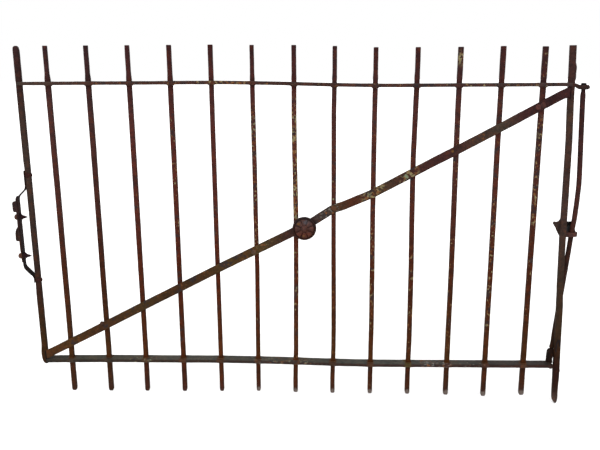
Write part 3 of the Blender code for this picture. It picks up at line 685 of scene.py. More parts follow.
def rail_bar(name, level, start, end, ends, seed, spread=0.0):
    """A flat bar with worn edges, swollen round its punched holes.

    ends: (x, half depth, half thickness, drop) past `end`. spread: extra half thickness.
    """
    rings = []
    crossings = {n: bar_x(n, level) for n in range(1, PICKET_COUNT + 1)}
    for x in np.linspace(start, end, round((end - start) / 0.005)):
        near = max(hump(x, c, 0.0125) for c in crossings.values())
        edge = 0.00035 * waver(x * 22.0, seed, 0.0)
        depth = RAIL_DEPTH / 2 + 0.0004 + 0.0009 * near + edge
        thick = RAIL_THICK / 2 + 0.0006 + spread + 0.00035 * near + 0.0002 * waver(x * 30.0, 3.0, seed)
        sway = 0.0006 * waver(x * 6.0, 1.0, seed)
        z = rail_z(level, x) + 0.0005 * waver(x * 5.0, 9.0, seed)
        rings.append([(x, sway + a, z + b) for a, b in section(depth, thick, 0.0018, side=5)])
    for x, depth, thick, extra in ends:
        z = rail_z(level, x) - extra
        rings.append([(x, a, z + b) for a, b in section(depth, thick, 0.0018, side=5)])
    bm = bmesh.new()
    add_loft(bm, rings)
    rail = make(name, bm)
    bm = bmesh.new()
    for number, c in crossings.items():
        hole = bar_half(number) + 0.0001
        block(bm, (c - hole, -hole, level - 0.05), (c + hole, hole, level + 0.05), 0.001)
    drill(rail, bm)
    return weather(rail, 0.0002, 0.00015, seed)


def collars(name, level, side, reach, height, seed):
    """The burr that the punch left round each picket, above (side 1) or below (side -1) a rail."""
    bm = bmesh.new()
    for number in range(1, PICKET_COUNT + 1):
        x = bar_x(number, level)
        base = rail_z(level, x) + side * (RAIL_THICK / 2 - 0.0008)
        grow = 1.0 + 0.35 * waver(number * 2.9, seed, 0.0)
        rings = []
        for share, out in ((0.0, 1.0), (0.35, 0.93), (0.6, 0.66), (0.82, 0.4), (1.0, 0.12)):
            size = bar_half(number) + reach * out * grow
            z = base + side * (height * grow + 0.0012) * share
            rings.append(level_ring(x, 0.0, z, section(size, size, size * 0.45, corner=4, side=2)))
        add_loft(bm, rings)
    return weather(make(name, bm), 0.0006, 0.0004, seed)


# The rust that runs down onto the lower rail at some pickets.
CROSSING_STAINS = {
    1: (66, 54, 44), 2: (68, 56, 44), 3: (72, 56, 42), 10: (82, 68, 38), 11: (80, 48, 36), 12: (80, 48, 36),
}


def build_rails():
    """Both rails with the punch's burrs."""
    def top_base(f):
        front = f.bands(f.x, (
            (-1.57, 68, 60, 54), (-1.5, 74, 56, 50), (-1.3, 72, 48, 42), (-0.8, 72, 48, 43),
            (-0.3, 70, 48, 45), (-0.1, 72, 56, 53), (0.02, 68, 50, 48),
        ), 0.2)
        # Up-facing faces are painted a pale grey: a painted reflection of the sky on the rail's top.
        return f.mix(f.step(f.upward(), 0.45, 0.85), front, colour(78, 72, 68))

    def bottom_base(f):
        # The up-facing top takes these pale grey bands: a painted reflection of the sky, over the rail's
        # own colour changes along its length. The sides keep the darker `edge` bands.
        top = f.bands(f.x, (
            (-1.57, 60, 55, 47), (-1.4, 70, 68, 58), (-1.1, 80, 77, 70), (-0.8, 70, 68, 60),
            (-0.5, 78, 77, 71), (-0.25, 66, 63, 58), (-0.1, 58, 52, 50), (0.0, 52, 44, 38),
        ), 0.2)
        edge = f.bands(f.x, (
            (-1.57, 52, 46, 39), (-1.3, 54, 44, 37), (-1.0, 56, 45, 39), (-0.6, 60, 46, 42),
            (-0.2, 58, 42, 38), (-0.08, 56, 36, 31), (0.0, 54, 35, 30),
        ), 0.1)
        tone = f.mix(f.step(f.upward(), 0.35, 0.8), edge, top)
        for number in range(1, PICKET_COUNT + 1):
            stain = CROSSING_STAINS.get(number, (80, 54, 38))
            off = f.math("ABSOLUTE", f.minus(f.x, picket_x(number)))
            ragged = f.plus(off, f.times(f.minus(f.noise(70.0), 0.5), 0.012))
            near = f.minus(1.0, f.step(ragged, 0.0075, 0.0135))
            tone = f.mix(near, tone, colour(*stain))
        return tone

    top = rail_bar("rail_upper", TOP_RAIL_Z, LATCH_OUT + 0.0046, -0.0335, (
        (-0.0325, 0.006, 0.0036, 0.0), (-0.03, 0.0055, 0.0032, 0.0005),
    ), 4.0)
    finish = rust("rail_upper_rust_and_painted_sky_reflection", 31.0, top_base, bloom=0.45, dark=0.6, flecks=(
        (-1.25, -1.15, 0.55, CREAM), (-1.15, -1.03, 0.6, CREAM), (-1.4, -1.25, 0.5, TAN),
        (-1.03, -0.92, 1.1, CREAM), (-0.9, -0.1, 0.45, CREAM),
    ))
    settle(top, finish, "rail_iron", "top_rail")
    burr = collars("rail_upper_burrs", TOP_RAIL_Z, -1, 0.0042, 0.0034, 5.0)
    settle(burr, rust("burr_upper_rust", 33.0, (74, 46, 38), dark=0.6), "rail_iron")

    tail_x = -0.0083
    bottom = rail_bar("rail_lower", BOTTOM_RAIL_Z, LATCH_IN + 0.0003, -0.035, (
        (-0.032, 0.016, 0.0064, 0.0012), (-0.029, 0.0148, 0.007, 0.0018),
        (-0.0262, 0.0124, 0.0072, 0.0026), (-0.0236, 0.0094, 0.0072, 0.0034),
        (-0.021, 0.007, 0.0068, 0.0046), (-0.0184, 0.0056, 0.006, 0.0066),
        (tail_x - HALF_STILE, 0.0044, 0.0046, 0.0104),
        (tail_x + HALF_STILE + 0.0004, 0.0038, 0.0034, 0.016),
    ), 9.0, 0.0006)
    finish = rust("rail_lower_rust_and_painted_sky_reflection", 41.0, bottom_base, bloom=0.12, dark=0.66, flecks=(
        (-0.93, -0.74, 0.8, (116, 118, 102)), (-1.3, -1.22, 0.8, MINT),
        (-0.42, -0.33, 0.9, (150, 150, 146)), (-0.33, -0.22, 0.4, (128, 126, 118)),
    ), rough=0.62)
    settle(bottom, finish, "rail_iron", "bottom_rail")
    burr = collars("rail_lower_burrs", BOTTOM_RAIL_Z, 1, 0.0036, 0.0022, 8.0)
    settle(burr, rust("burr_lower_rust", 43.0, (84, 60, 38), dark=0.62), "rail_iron")
    origin = (tail_x + HALF_STILE - 0.0005, 0.0, BOTTOM_RAIL_Z - HINGE_SIDE_DROP - 0.0195)
    profile = ((0.0, 0.006), (0.003, 0.0062), (0.0046, 0.005), (0.0056, 0.0026))
    head = turned_iron("rail_tail_head", origin, (1, 0, -0.15), profile, 0.0008, 0.0005, 0.0003, 12.0)
    settle(head, rust("tail_head_rust", 44.0, (60, 42, 34)), "rail_iron")


# How far the latch stile's outer face stands proud of its nominal size, away from the spring.
LATCH_STILE_SPREAD = mm(
    (150, 0), (200, 0.9), (350, 0.9), (375, 0), (725, 0), (745, 1.1), (1060, 0.5),
)


def build_stiles():
    """The two upright end bars."""
    rings = []
    # (height, outer edge's offset, inner edge's offset), then (height, half depth)
    foot = mm(
        (121, 5.8, -3.4), (122.2, 3.6, -2.2), (123.8, 2.4, -1.6), (125.5, 1.4, -1.2), (128.8, -0.4, -0.8),
        (132, -1.3, -0.3), (135.5, -2, 0), (142.1, -3.2, 0), (152, -3.7, 0), (161.9, -3.2, 0),
        (175, -1.4, 0), (190, 0, 0),
    )
    outer = [(z, o) for z, o, _ in foot]
    inner = [(z, i) for z, _, i in foot]
    deep = mm((121, 3.8), (125.5, 5.4), (135.5, 6.4), (161.9, 7), (175, 7.1))
    heights = list(np.arange(0.121, 0.195, 0.0016)) + list(np.arange(0.195, 1.0602, 0.0042))
    for z in heights:
        left = LATCH_OUT + on_line(outer, z) - on_line(LATCH_STILE_SPREAD, z)
        right = LATCH_IN + on_line(inner, z) + 0.001
        half = (right - left) / 2 * (1.0 + 0.018 * waver(1.0, 2.0, z * 14.0))
        sway = 0.0004 * waver(5.0, 0.0, z * 4.0)
        ring = section(half, on_line(deep, z), 0.0022)
        rings.append(level_ring((left + right) / 2 + sway, 0.0, z, ring))
    top = 1.0683
    dome = ((0.0062, 0.99), (0.0045, 0.95), (0.003, 0.87), (0.0017, 0.74), (0.0007, 0.56), (0.0, 0.3))
    for below, share in dome:
        half = HALF_STILE * share
        ring = section(half, half, max(0.0022, half * (1.35 - share)))
        rings.append(level_ring(LATCH_STILE_X, 0.0, top - below, ring))
    left = lofted_iron("stile_latch", rings, 0.00024, 0.00016, 21.0)

    def latch_base(f):
        return f.bands(f.z, (
            (0.1, 62, 37, 20), (0.16, 63, 40, 16), (0.24, 60, 40, 20), (0.36, 58, 36, 28),
            (0.48, 58, 44, 38), (0.66, 64, 50, 44), (0.78, 64, 52, 46), (0.9, 64, 46, 40),
            (0.98, 60, 38, 35), (1.08, 62, 40, 40),
        ), 0.08)
    finish = rust("stile_latch_rust", 51.0, latch_base, bloom=0.25, dark=0.62)
    settle(left, finish, "stile_iron", "left_stile")
    for place, dx, radius in (("upper", 0.0004, 0.0076), ("lower", 0.0026, 0.0062)):
        centre = (LATCH_STILE_X + dx, -HALF_STILE + 0.0004, STRAP_RIVET_Z[place])
        scab = lump(f"stile_scab_{place}", centre, radius, 0.0022, 23.0 + radius * 900.0, 0.6)
        iron = rust(f"stile_scab_{place}_rust", 57.0 + radius * 500.0, (62, 34, 31), bloom=0.3)
        settle(scab, iron, "stile_iron")
    # A near-black ridge beside the lower end of the brace: painted shadow of the gap between the brace end
    # and the latch stile.
    shadow_line = mm((-3, 127), (-3.8, 140), (-3.4, 152), (-3, 164))
    gap_shadow = ridge("stile_foot_shadow_ridge", LATCH_IN, -0.0002, shadow_line, 0.006, 0.0015, 0.0019, 0.0012, 37.0)
    settle(gap_shadow, rust("stile_foot_painted_shadow", 58.0, (22, 12, 10), bloom=0.05, dark=0.7), "stile_iron")

    rings = []
    # (height, half width, half depth, offset)
    heel = mm(
        (0.4, 1.8, 2.6, 3), (2.2, 3.4, 3.8, 2.4), (6, 5.2, 5.2, 1.6),
        (10.5, 6.8, 6.1, 0.9), (15, 7.6, 6.7, 0.5), (20.5, 8.1, 7.1, 0.2),
    )
    for z, half_x, half_y, shift in heel:
        ring = section(half_x, half_y, 0.0022)
        rings.append(level_ring(on_line(HINGE_STILE_LINE, z) + shift, 0.0, z, ring))
    for z in np.arange(0.026, 1.0585, 0.0042):
        boss = hump(z, 0.957, 0.011)
        swell = 1.16 + 0.02 * waver(9.0, 2.0, z * 14.0) + 0.06 * boss
        foot = smooth((0.36 - z) / 0.05) * smooth((z - 0.05) / 0.04)
        knee = hump(z, 0.186, 0.02)
        swell += 0.11 * foot + 0.05 * knee
        lean = 0.0007 * foot - 0.0005 * smooth((z - 0.3) / 0.1) - 0.0005 * knee
        x = on_line(HINGE_STILE_LINE, z) + lean + 0.0004 * waver(15.0, 0.0, z * 5.0)
        half_y = HALF_STILE * (1.0 + 0.1 * boss)
        ring = section(HALF_STILE * swell, half_y, 0.002)
        rings.append([(x + a, b - 0.0014 * knee * (b > 0.0), z) for a, b in ring])
    for z, share in ((1.0592, 0.995), (1.06, 0.97), (1.0606, 0.9)):
        ring = section(HALF_STILE * share * 1.16, HALF_STILE * share, 0.002)
        rings.append(level_ring(on_line(HINGE_STILE_LINE, z) - 0.0005, 0.0, z, ring))
    right = lofted_iron("stile_hinge", rings, 0.00024, 0.00016, 27.0)

    def hinge_base(f):
        return f.bands(f.z, (
            (0.0, 82, 66, 58), (0.03, 74, 56, 50), (0.06, 46, 26, 20), (0.12, 43, 23, 15),
            (0.16, 56, 35, 21), (0.24, 57, 42, 28), (0.42, 62, 48, 39), (0.58, 68, 51, 45),
            (0.76, 70, 50, 44), (0.88, 70, 54, 45), (0.95, 66, 43, 40), (1.07, 66, 44, 42),
        ), 0.08)
    finish = rust("stile_hinge_rust", 53.0, hinge_base, bloom=0.2, dark=0.6)
    settle(right, finish, "stile_iron", "right_stile")

    origin = (on_line(HINGE_STILE_LINE, 0.99) + 0.0068, 0.0, 0.964)
    profile = (
        (0.0, 0.003), (0.004, 0.0046), (0.015, 0.005), (0.028, 0.0054), (0.038, 0.006), (0.046, 0.005),
        (0.054, 0.0014),
    )
    bulge = turned_iron("stile_rust_bulge", origin, (-0.02, 0, 1), profile, 0.0015, 0.0008, 0.0004, 31.0)
    settle(bulge, finish, "stile_iron")

    hook = mm((-4, 170), (-4.4, 184), (-2.6, 199), (1.6, 209), (4.8, 203), (5.6, 188))
    x = on_line(HINGE_STILE_LINE, 0.205)
    mark = ridge("stile_forging_fold", x, 0.0002, hook, 0.008, 0.0012, 0.0016, 0.0013, 33.0)
    settle(mark, rust("fold_rust", 54.0, (38, 34, 38), bloom=0.1), "stile_iron")


# ---------------- brace and rosette
def brace_bar(name, start, end, seed):
    """A flat bar cut upright at both ends."""
    rings = []
    step = 0.005
    for x in np.linspace(start, end, round((end - start) / step)):
        slope = (brace_z(x + 0.012) - brace_z(x - 0.012)) / 0.024
        if x - start < 0.013 or end - x < 0.013:
            slope = 0.53
        lean = math.hypot(1.0, slope)
        half = (BRACE_WIDTH / 2 + 0.0012) * lean * (1.0 + 0.02 * waver(x * 20.0, seed, 0.0))
        z = sum(brace_z(x + d) for d in (-0.008, 0.0, 0.008)) / 3
        y = (BRACE_BACK_Y + BRACE_FRONT_Y) / 2 + 0.0003 * waver(x * 9.0, seed, 2.0)
        rings.append([(x, y + a, z + b) for a, b in section(BRACE_THICK / 2, half, 0.0014, side=4)])
    return lofted_iron(name, rings, 0.00026, 0.00016, seed)


def lump(name, centre, radius, tall, seed, flat=0.5):
    """A hammered rivet head or weld bead on the front of something."""
    bm = bmesh.new()
    profile = [(-0.0015, radius * 0.98)]
    profile += [(tall * math.sin(a), radius * math.cos(a) ** flat) for a in np.linspace(0.0, 1.45, 9)]
    turned(bm, centre, (0, -1, 0), profile, 28)
    return weather(make(name, bm), radius * 0.1, radius * 0.05, seed)


def build_brace():
    """Both halves of the brace with rivets and weld beads."""
    def base(f):
        return f.bands(f.x, (
            (-1.56, 76, 50, 30), (-1.48, 77, 53, 28), (-1.38, 73, 48, 30), (-1.33, 69, 49, 30),
            (-1.24, 70, 52, 30), (-1.15, 67, 46, 29), (-1.05, 70, 50, 31), (-0.99, 79, 60, 34),
            (-0.93, 77, 56, 33), (-0.88, 76, 62, 39), (-0.82, 67, 44, 37), (-0.74, 62, 46, 44),
            (-0.705, 66, 59, 57), (-0.67, 76, 58, 42), (-0.63, 80, 45, 31), (-0.59, 76, 47, 36),
            (-0.54, 72, 56, 42), (-0.47, 70, 44, 40), (-0.36, 66, 40, 38), (-0.27, 70, 54, 46),
            (-0.22, 76, 64, 54), (-0.16, 62, 38, 38), (0.0, 60, 36, 36),
        ), 0.05)
    crossing = {n: (picket_x(n), brace_z(picket_x(n))) for n in range(1, PICKET_COUNT + 1)}
    x9, z9 = crossing[9]
    x10, z10 = crossing[10]
    finish = rust("brace_rust", 61.0, base, bloom=0.4, dark=0.66, flecks=(
        (x9 - 0.03, x9 + 0.028, 1.15, CREAM), (x10 - 0.04, x10 + 0.012, 0.9, CREAM),
        (-0.72, -0.665, 0.9, (120, 118, 110)), (-0.905, -0.87, 0.8, CREAM), (-0.3, -0.26, 0.5, TAN),
        (-1.5, -0.9, 0.25, TAN),
    ), patches=(
        (x9 - 0.012, z9 - 0.004, 0.0085, MINT), (x10 - 0.022, z10 - 0.012, 0.0085, MINT),
        (-0.35, brace_z(-0.35) + 0.004, 0.0045, TAN),
    ))
    lower = brace_bar("brace_bar_lower", BRACE_LINE[0][0], BRACE_JOINT_X - 0.0003, 3.0)
    settle(lower, finish, "brace_iron", "brace_lower")
    upper = brace_bar("brace_bar_upper", BRACE_JOINT_X, BRACE_LINE[-1][0], 6.0)
    settle(upper, finish, "brace_iron", "brace_upper")

    # A near-black ridge at the brace's upper end: painted shadow of the gap between the brace end and the
    # hinge stile.
    edge = mm((2.6, 916), (3, 930), (2.8, 944), (1.4, 949))
    shadow_line = ridge("brace_end_shadow_ridge", BRACE_LINE[-1][0], 0.0002, edge, 0.006, 0.0015, 0.0014, 0.0012, 38.0)
    settle(shadow_line, rust("brace_end_painted_shadow", 59.0, (34, 18, 18), bloom=0.05, dark=0.7), "brace_iron")

    rivets = ((8, 0.0085, 0.0034, (96, 66, 48)), (13, 0.0082, 0.0036, (84, 54, 50)))
    for number, radius, tall, tone in rivets:
        x, z = crossing[number]
        head = lump(f"brace_head_{number:02d}", (x, BRACE_FRONT_Y, z), radius, tall, number * 5.0)
        tail = turned_iron(
            f"brace_tail_{number:02d}", (x, PICKET / 2 - 0.001, z), (0, 1, 0),
            ((0.0, 0.0066), (0.0012, 0.0068), (0.0032, 0.0054), (0.0044, 0.0028)), 0.0009,
            0.0004, 0.0002, number * 6.0,
        )
        iron = rust(f"brace_rivet_{number:02d}_rust", 62.0 + number, tone, bloom=0.4)
        settle(head, iron, "brace_iron", f"brace_rivet_{number:02d}")
        settle(tail, iron, "brace_iron", f"brace_rivet_{number:02d}")

    beads = (
        ("brace_weld_02", crossing[2][0] - 0.01, crossing[2][1] + 0.006, 0.007, 0.003, (70, 50, 42)),
        ("brace_weld_06", crossing[6][0] - 0.006, crossing[6][1] - 0.005, 0.0075, 0.0026, (110, 84, 66)),
        ("brace_scab_13", crossing[13][0] - 0.012, crossing[13][1] - 0.005, 0.008, 0.0026, (84, 54, 52)),
    )
    for name, x, z, radius, tall, tone in beads:
        bead = lump(name, (x, BRACE_FRONT_Y, z), radius, tall, x * 40.0, 0.6)
        settle(bead, rust(name + "_rust", x * 9.0, tone, bloom=0.3), "brace_iron")


def build_rosette():
    """A flower disc: raised rim, eight petals and a hammered boss."""
    rings, sides, height = 46, 160, 0.013
    bm = bmesh.new()
    grid = []
    for i in range(1, rings + 1):
        r = ROSETTE_RADIUS * i / rings
        row = []
        for k in range(sides):
            angle = 2.0 * math.pi * k / sides
            wave = abs(math.cos(4.0 * angle))
            share = r / ROSETTE_RADIUS
            dish = 0.0058 + 0.0042 * (1.0 - share) ** 0.8
            petal = 0.005 * wave ** 0.6 * smooth((share - 0.22) / 0.16) * smooth((0.86 - share) / 0.14)
            petal -= 0.0012 * smooth((share - 0.2) / 0.1)
            groove = -0.0012 * hump(share, 0.855, 0.035)
            rim = 0.0022 * hump(share, 0.93, 0.05)
            boss = 0.0016 * smooth((0.3 - share) / 0.06)
            vein = -0.0007 * hump(math.sin(4.0 * angle), 0.0, 0.12) * smooth((share - 0.34) / 0.1)
            vein *= smooth((0.8 - share) / 0.1)
            fall = 0.004 * smooth((share - 0.955) / 0.045)
            tall = dish + petal + groove + rim + boss + vein - fall
            edge = 1.0 + 0.01 * waver(math.cos(angle) * 2.0, math.sin(angle) * 2.0, 5.0)
            point = Vector((r * edge * math.cos(angle), -tall, r * edge * math.sin(angle)))
            row.append(bm.verts.new(ROSETTE + point))
        grid.append(row)
    peak = bm.verts.new(ROSETTE + Vector((0, -0.0116, 0)))
    for k in range(sides):
        bm.faces.new((peak, grid[0][k], grid[0][(k + 1) % sides]))
    for low, high in zip(grid, grid[1:]):
        for k in range(sides):
            j = (k + 1) % sides
            bm.faces.new((low[k], high[k], high[j], low[j]))
    shoulder = [bm.verts.new((v.co.x, ROSETTE.y - 0.0012, v.co.z)) for v in grid[-1]]
    back = []
    for v in grid[-1]:
        out = Vector((v.co.x, ROSETTE.y, v.co.z)) - ROSETTE
        back.append(bm.verts.new(ROSETTE + out * 0.965))
    for outer, inner in ((grid[-1], shoulder), (shoulder, back)):
        for k in range(sides):
            j = (k + 1) % sides
            bm.faces.new((outer[k], inner[k], inner[j], outer[j]))
    hub = bm.verts.new(ROSETTE)
    for k in range(sides):
        bm.faces.new((hub, back[(k + 1) % sides], back[k]))
    disc = weather(make("rosette_disc", bm, smooth_angle=60.0), 0.0009, 0.0004, 71.0)

    def base(f):
        height_share = f.step(f.z, ROSETTE.z - 0.02, ROSETTE.z + 0.03)
        tone = f.mix(height_share, colour(92, 54, 44), colour(84, 66, 65))
        # Parts standing less than 6.2 to 10 mm proud (the grooves between petals, the edge and the back)
        # are multiplied darker: painted shade in the hollows.
        depth = f.step(f.times(f.y, -1.0), -ROSETTE.y + 0.0062, -ROSETTE.y + 0.01)
        return f.mix(depth, f.mix(1.0, tone, grey(0.34), "MULTIPLY"), tone)
    finish = rust("rosette_rust_and_painted_shade", 71.0, base, bloom=0.35, dark=0.55, scale=1.5, patches=(
        (ROSETTE.x - 0.017, ROSETTE.z + 0.015, 0.005, TAN),
        (ROSETTE.x - 0.002, ROSETTE.z - 0.02, 0.004, TAN),
        (ROSETTE.x + 0.004, ROSETTE.z + 0.02, 0.0075, (88, 80, 84)),
    ), rough=0.7)
    settle(disc, finish, "rosette_iron", "rosette")

    head = lump("rosette_boss", ROSETTE + Vector((0, -height + 0.001, 0)), 0.0068, 0.003, 73.0, 0.45)
    settle(head, finish, "rosette_iron", "rosette_rivet")
    tail = turned_iron(
        "rosette_rivet_tail", (ROSETTE.x, BRACE_BACK_Y - 0.0006, ROSETTE.z), (0, 1, 0),
        ((0.0, 0.006), (0.0018, 0.006), (0.0034, 0.0046), (0.0042, 0.0022)), 0.0009, 0.0004, 0.0002, 75.0,
    )
    settle(tail, finish, "rosette_iron", "rosette_rivet")


# ---------------- latch side
def strap_half(name, line, seed):
    """One end of the spring strap, from its rivet to the middle of the bow."""
    points = [Vector((LATCH_OUT - GAP - STRAP_THICK / 2 - out, 0.0, z)) for out, z in line]
    path = resample(rounded_path(points, 0.009), 0.0032)
    count = len(path)

    def flat(i, point):
        end = min(i, count - 1 - i)
        share = 0.97 if end == 0 else 1.0
        wide = STRAP_DEPTH / 2 * (1.0 + 0.02 * waver(i * 0.21, seed, 0.0)) * share
        swell = 1.3 * smooth((0.434 - point.z) / 0.008) * smooth((point.z - 0.405) / 0.006)
        thick = STRAP_THICK * (1.0 + swell)
        return section(thick / 2, wide, 0.0007, corner=2, side=4)
    return lofted_iron(name, sweep_rings(path, flat), 0.0001, 0.00008, seed)


def build_latch():
    """The bowed spring, its rivets, and the catch plate with its bolts and nuts."""
    spring_iron = rust("spring_rust", 81.0, lambda f: f.bands(f.z, (
        (0.38, 62, 42, 34), (0.405, 34, 26, 24), (0.45, 36, 26, 26), (0.6, 54, 36, 34),
        (0.655, 44, 30, 30), (0.675, 64, 44, 38), (0.72, 64, 45, 40),
    ), 0.01), bloom=0.12, dark=0.6)
    middle = (STRAP_BOW, 0.5236)
    upper = strap_half("spring_upper", (*STRAP_LINE[:3], middle), 2.0)
    lower = strap_half("spring_lower", (middle, *STRAP_LINE[3:]), 5.0)
    for piece, start, end in ((upper, 0.668, 0.644), (lower, 0.401, 0.434)):
        settle(piece, spring_iron, "spring_steel", "latch_spring", body=None)
        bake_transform(piece)

    rivet_iron = rust("latch_rivet_rust", 82.0, (70, 42, 36), bloom=0.35, dark=0.55)
    for place, z in STRAP_RIVET_Z.items():
        outer = LATCH_OUT - 2 * GAP - STRAP_THICK
        rivet = turned_iron(f"strap_rivet_{place}_iron", (0, 0, z), (1, 0, 0), (
            (outer - 0.0026, 0.0026), (outer - 0.0018, 0.0052), (outer - 0.0002, 0.0064),
            (outer + 0.0004, 0.0064), (outer + 0.0004, 0.0034), (LATCH_IN - 0.0005, 0.0034),
            (LATCH_IN - 0.0005, 0.0064), (LATCH_IN + 0.0014, 0.0066), (LATCH_IN + 0.0032, 0.0054),
            (LATCH_IN + 0.0044, 0.0028),
        ), 0.0012, 0.0005, 0.0003, z * 90.0)
        settle(rivet, rivet_iron, "hardware_iron", f"strap_rivet_{place}")

    bm = bmesh.new()
    # (height, thickness, share of the width)
    line = (
        (0.4446, 0.002, 0.6), (0.4462, 0.0024, 0.84), (0.449, 0.0028, 0.97), (0.47, 0.0036, 1.0),
        (0.49, 0.0046, 1.0), (0.52, 0.0049, 1.0), (0.57, 0.0049, 1.0), (0.62, 0.0049, 1.0),
        (0.63, 0.0042, 1.0), (0.638, 0.0034, 0.92), (0.642, 0.0028, 0.76), (0.6444, 0.0024, 0.54),
        (0.6455, 0.002, 0.3),
    )
    rings = []
    for z, thick, share in line:
        ring = section(thick / 2, STRAP_DEPTH / 2 * share, 0.0009, corner=2, side=4)
        rings.append(level_ring(PLATE_IN - thick / 2, 0.0, z, ring))
    add_loft(bm, rings)
    root = PLATE_OUT + 0.002
    upper_ear = (
        (root, 0.5972), (PLATE_OUT - 0.0004, 0.5976), (EAR_TIP + 0.0034, 0.5974),
        (EAR_TIP + 0.0008, 0.5996), (EAR_TIP, 0.6024), (EAR_TIP, 0.623), (EAR_TIP + 0.0012, 0.6268),
        (EAR_TIP + 0.004, 0.629), (PLATE_OUT - 0.0004, 0.6298), (root, 0.6302),
    )
    lower_ear = (
        (root, 0.5085), (PLATE_OUT - 0.001, 0.509), (EAR_TIP + 0.003, 0.5094), (EAR_TIP + 0.0006, 0.5116),
        (EAR_TIP, 0.515), (EAR_TIP + 0.0002, 0.533), (EAR_TIP + 0.0016, 0.54), (EAR_TIP + 0.0044, 0.547),
        (PLATE_OUT - 0.0026, 0.553), (root, 0.56),
    )
    for outline in (upper_ear, lower_ear):
        prism(bm, outline, -0.0042, 0.0042)
    plate = weather(forge(make("catch_forging", bm), 0.0008, 3), 0.0004, 0.0002, 85.0)
    plate_iron = rust("catch_rust", 83.0, lambda f: f.bands(f.z, (
        (0.44, 92, 66, 52), (0.48, 72, 50, 42), (0.53, 60, 44, 39), (0.58, 66, 44, 42),
        (0.61, 56, 42, 42), (0.66, 46, 32, 32),
    ), 0.03), bloom=0.2, dark=0.5)
    settle(plate, plate_iron, "catch_iron", "catch_plate", body="catch")

    bolt_iron = rust("bolt_rust", 84.0, lambda f: f.mix(
        f.step(f.x, STRAP_IN - 0.006, STRAP_IN - 0.001), colour(94, 64, 52), colour(48, 30, 33)
    ), bloom=0.25, dark=0.5)
    for place, z in BOLT_Z.items():
        head = PLATE_OUT - GAP
        nut = STRAP_IN + GAP
        bolt = turned_iron(f"catch_bolt_{place}_iron", (0, 0, z), (1, 0, 0), (
            (head - 0.0094, 0.0034), (head - 0.0078, 0.0064), (head - 0.0052, 0.0082),
            (head - 0.0022, 0.0089), (head - 0.0002, 0.0086), (head - 0.0002, 0.0044),
            (nut + 0.01, 0.0048), (nut + 0.014, 0.0038), (nut + 0.019, 0.002), (nut + 0.0222, 0.0008),
        ), 0.0012, 0.0006, 0.0003, z * 70.0, 20)
        settle(bolt, bolt_iron, "hardware_iron", f"catch_bolt_{place}", body="catch")
        rings = []
        for d, r in fill_profile(mm((0, 9.6), (0.6, 10.4), (3, 9.6), (5.6, 7.4), (9.2, 5)), 0.001):
            corner = []
            for a in (2.0 * math.pi * k / 36 for k in range(36)):
                reach = r * (1.0 + 0.05 * math.cos(6 * a))
                corner.append((reach * math.cos(a), reach * math.sin(a)))
            rings.append([(nut + d, b, z + a) for a, b in corner])
        piece = lofted_iron(f"catch_nut_{place}_iron", rings, 0.0006, 0.0003, z * 50.0)
        settle(piece, bolt_iron, "hardware_iron", f"catch_nut_{place}", body="catch")


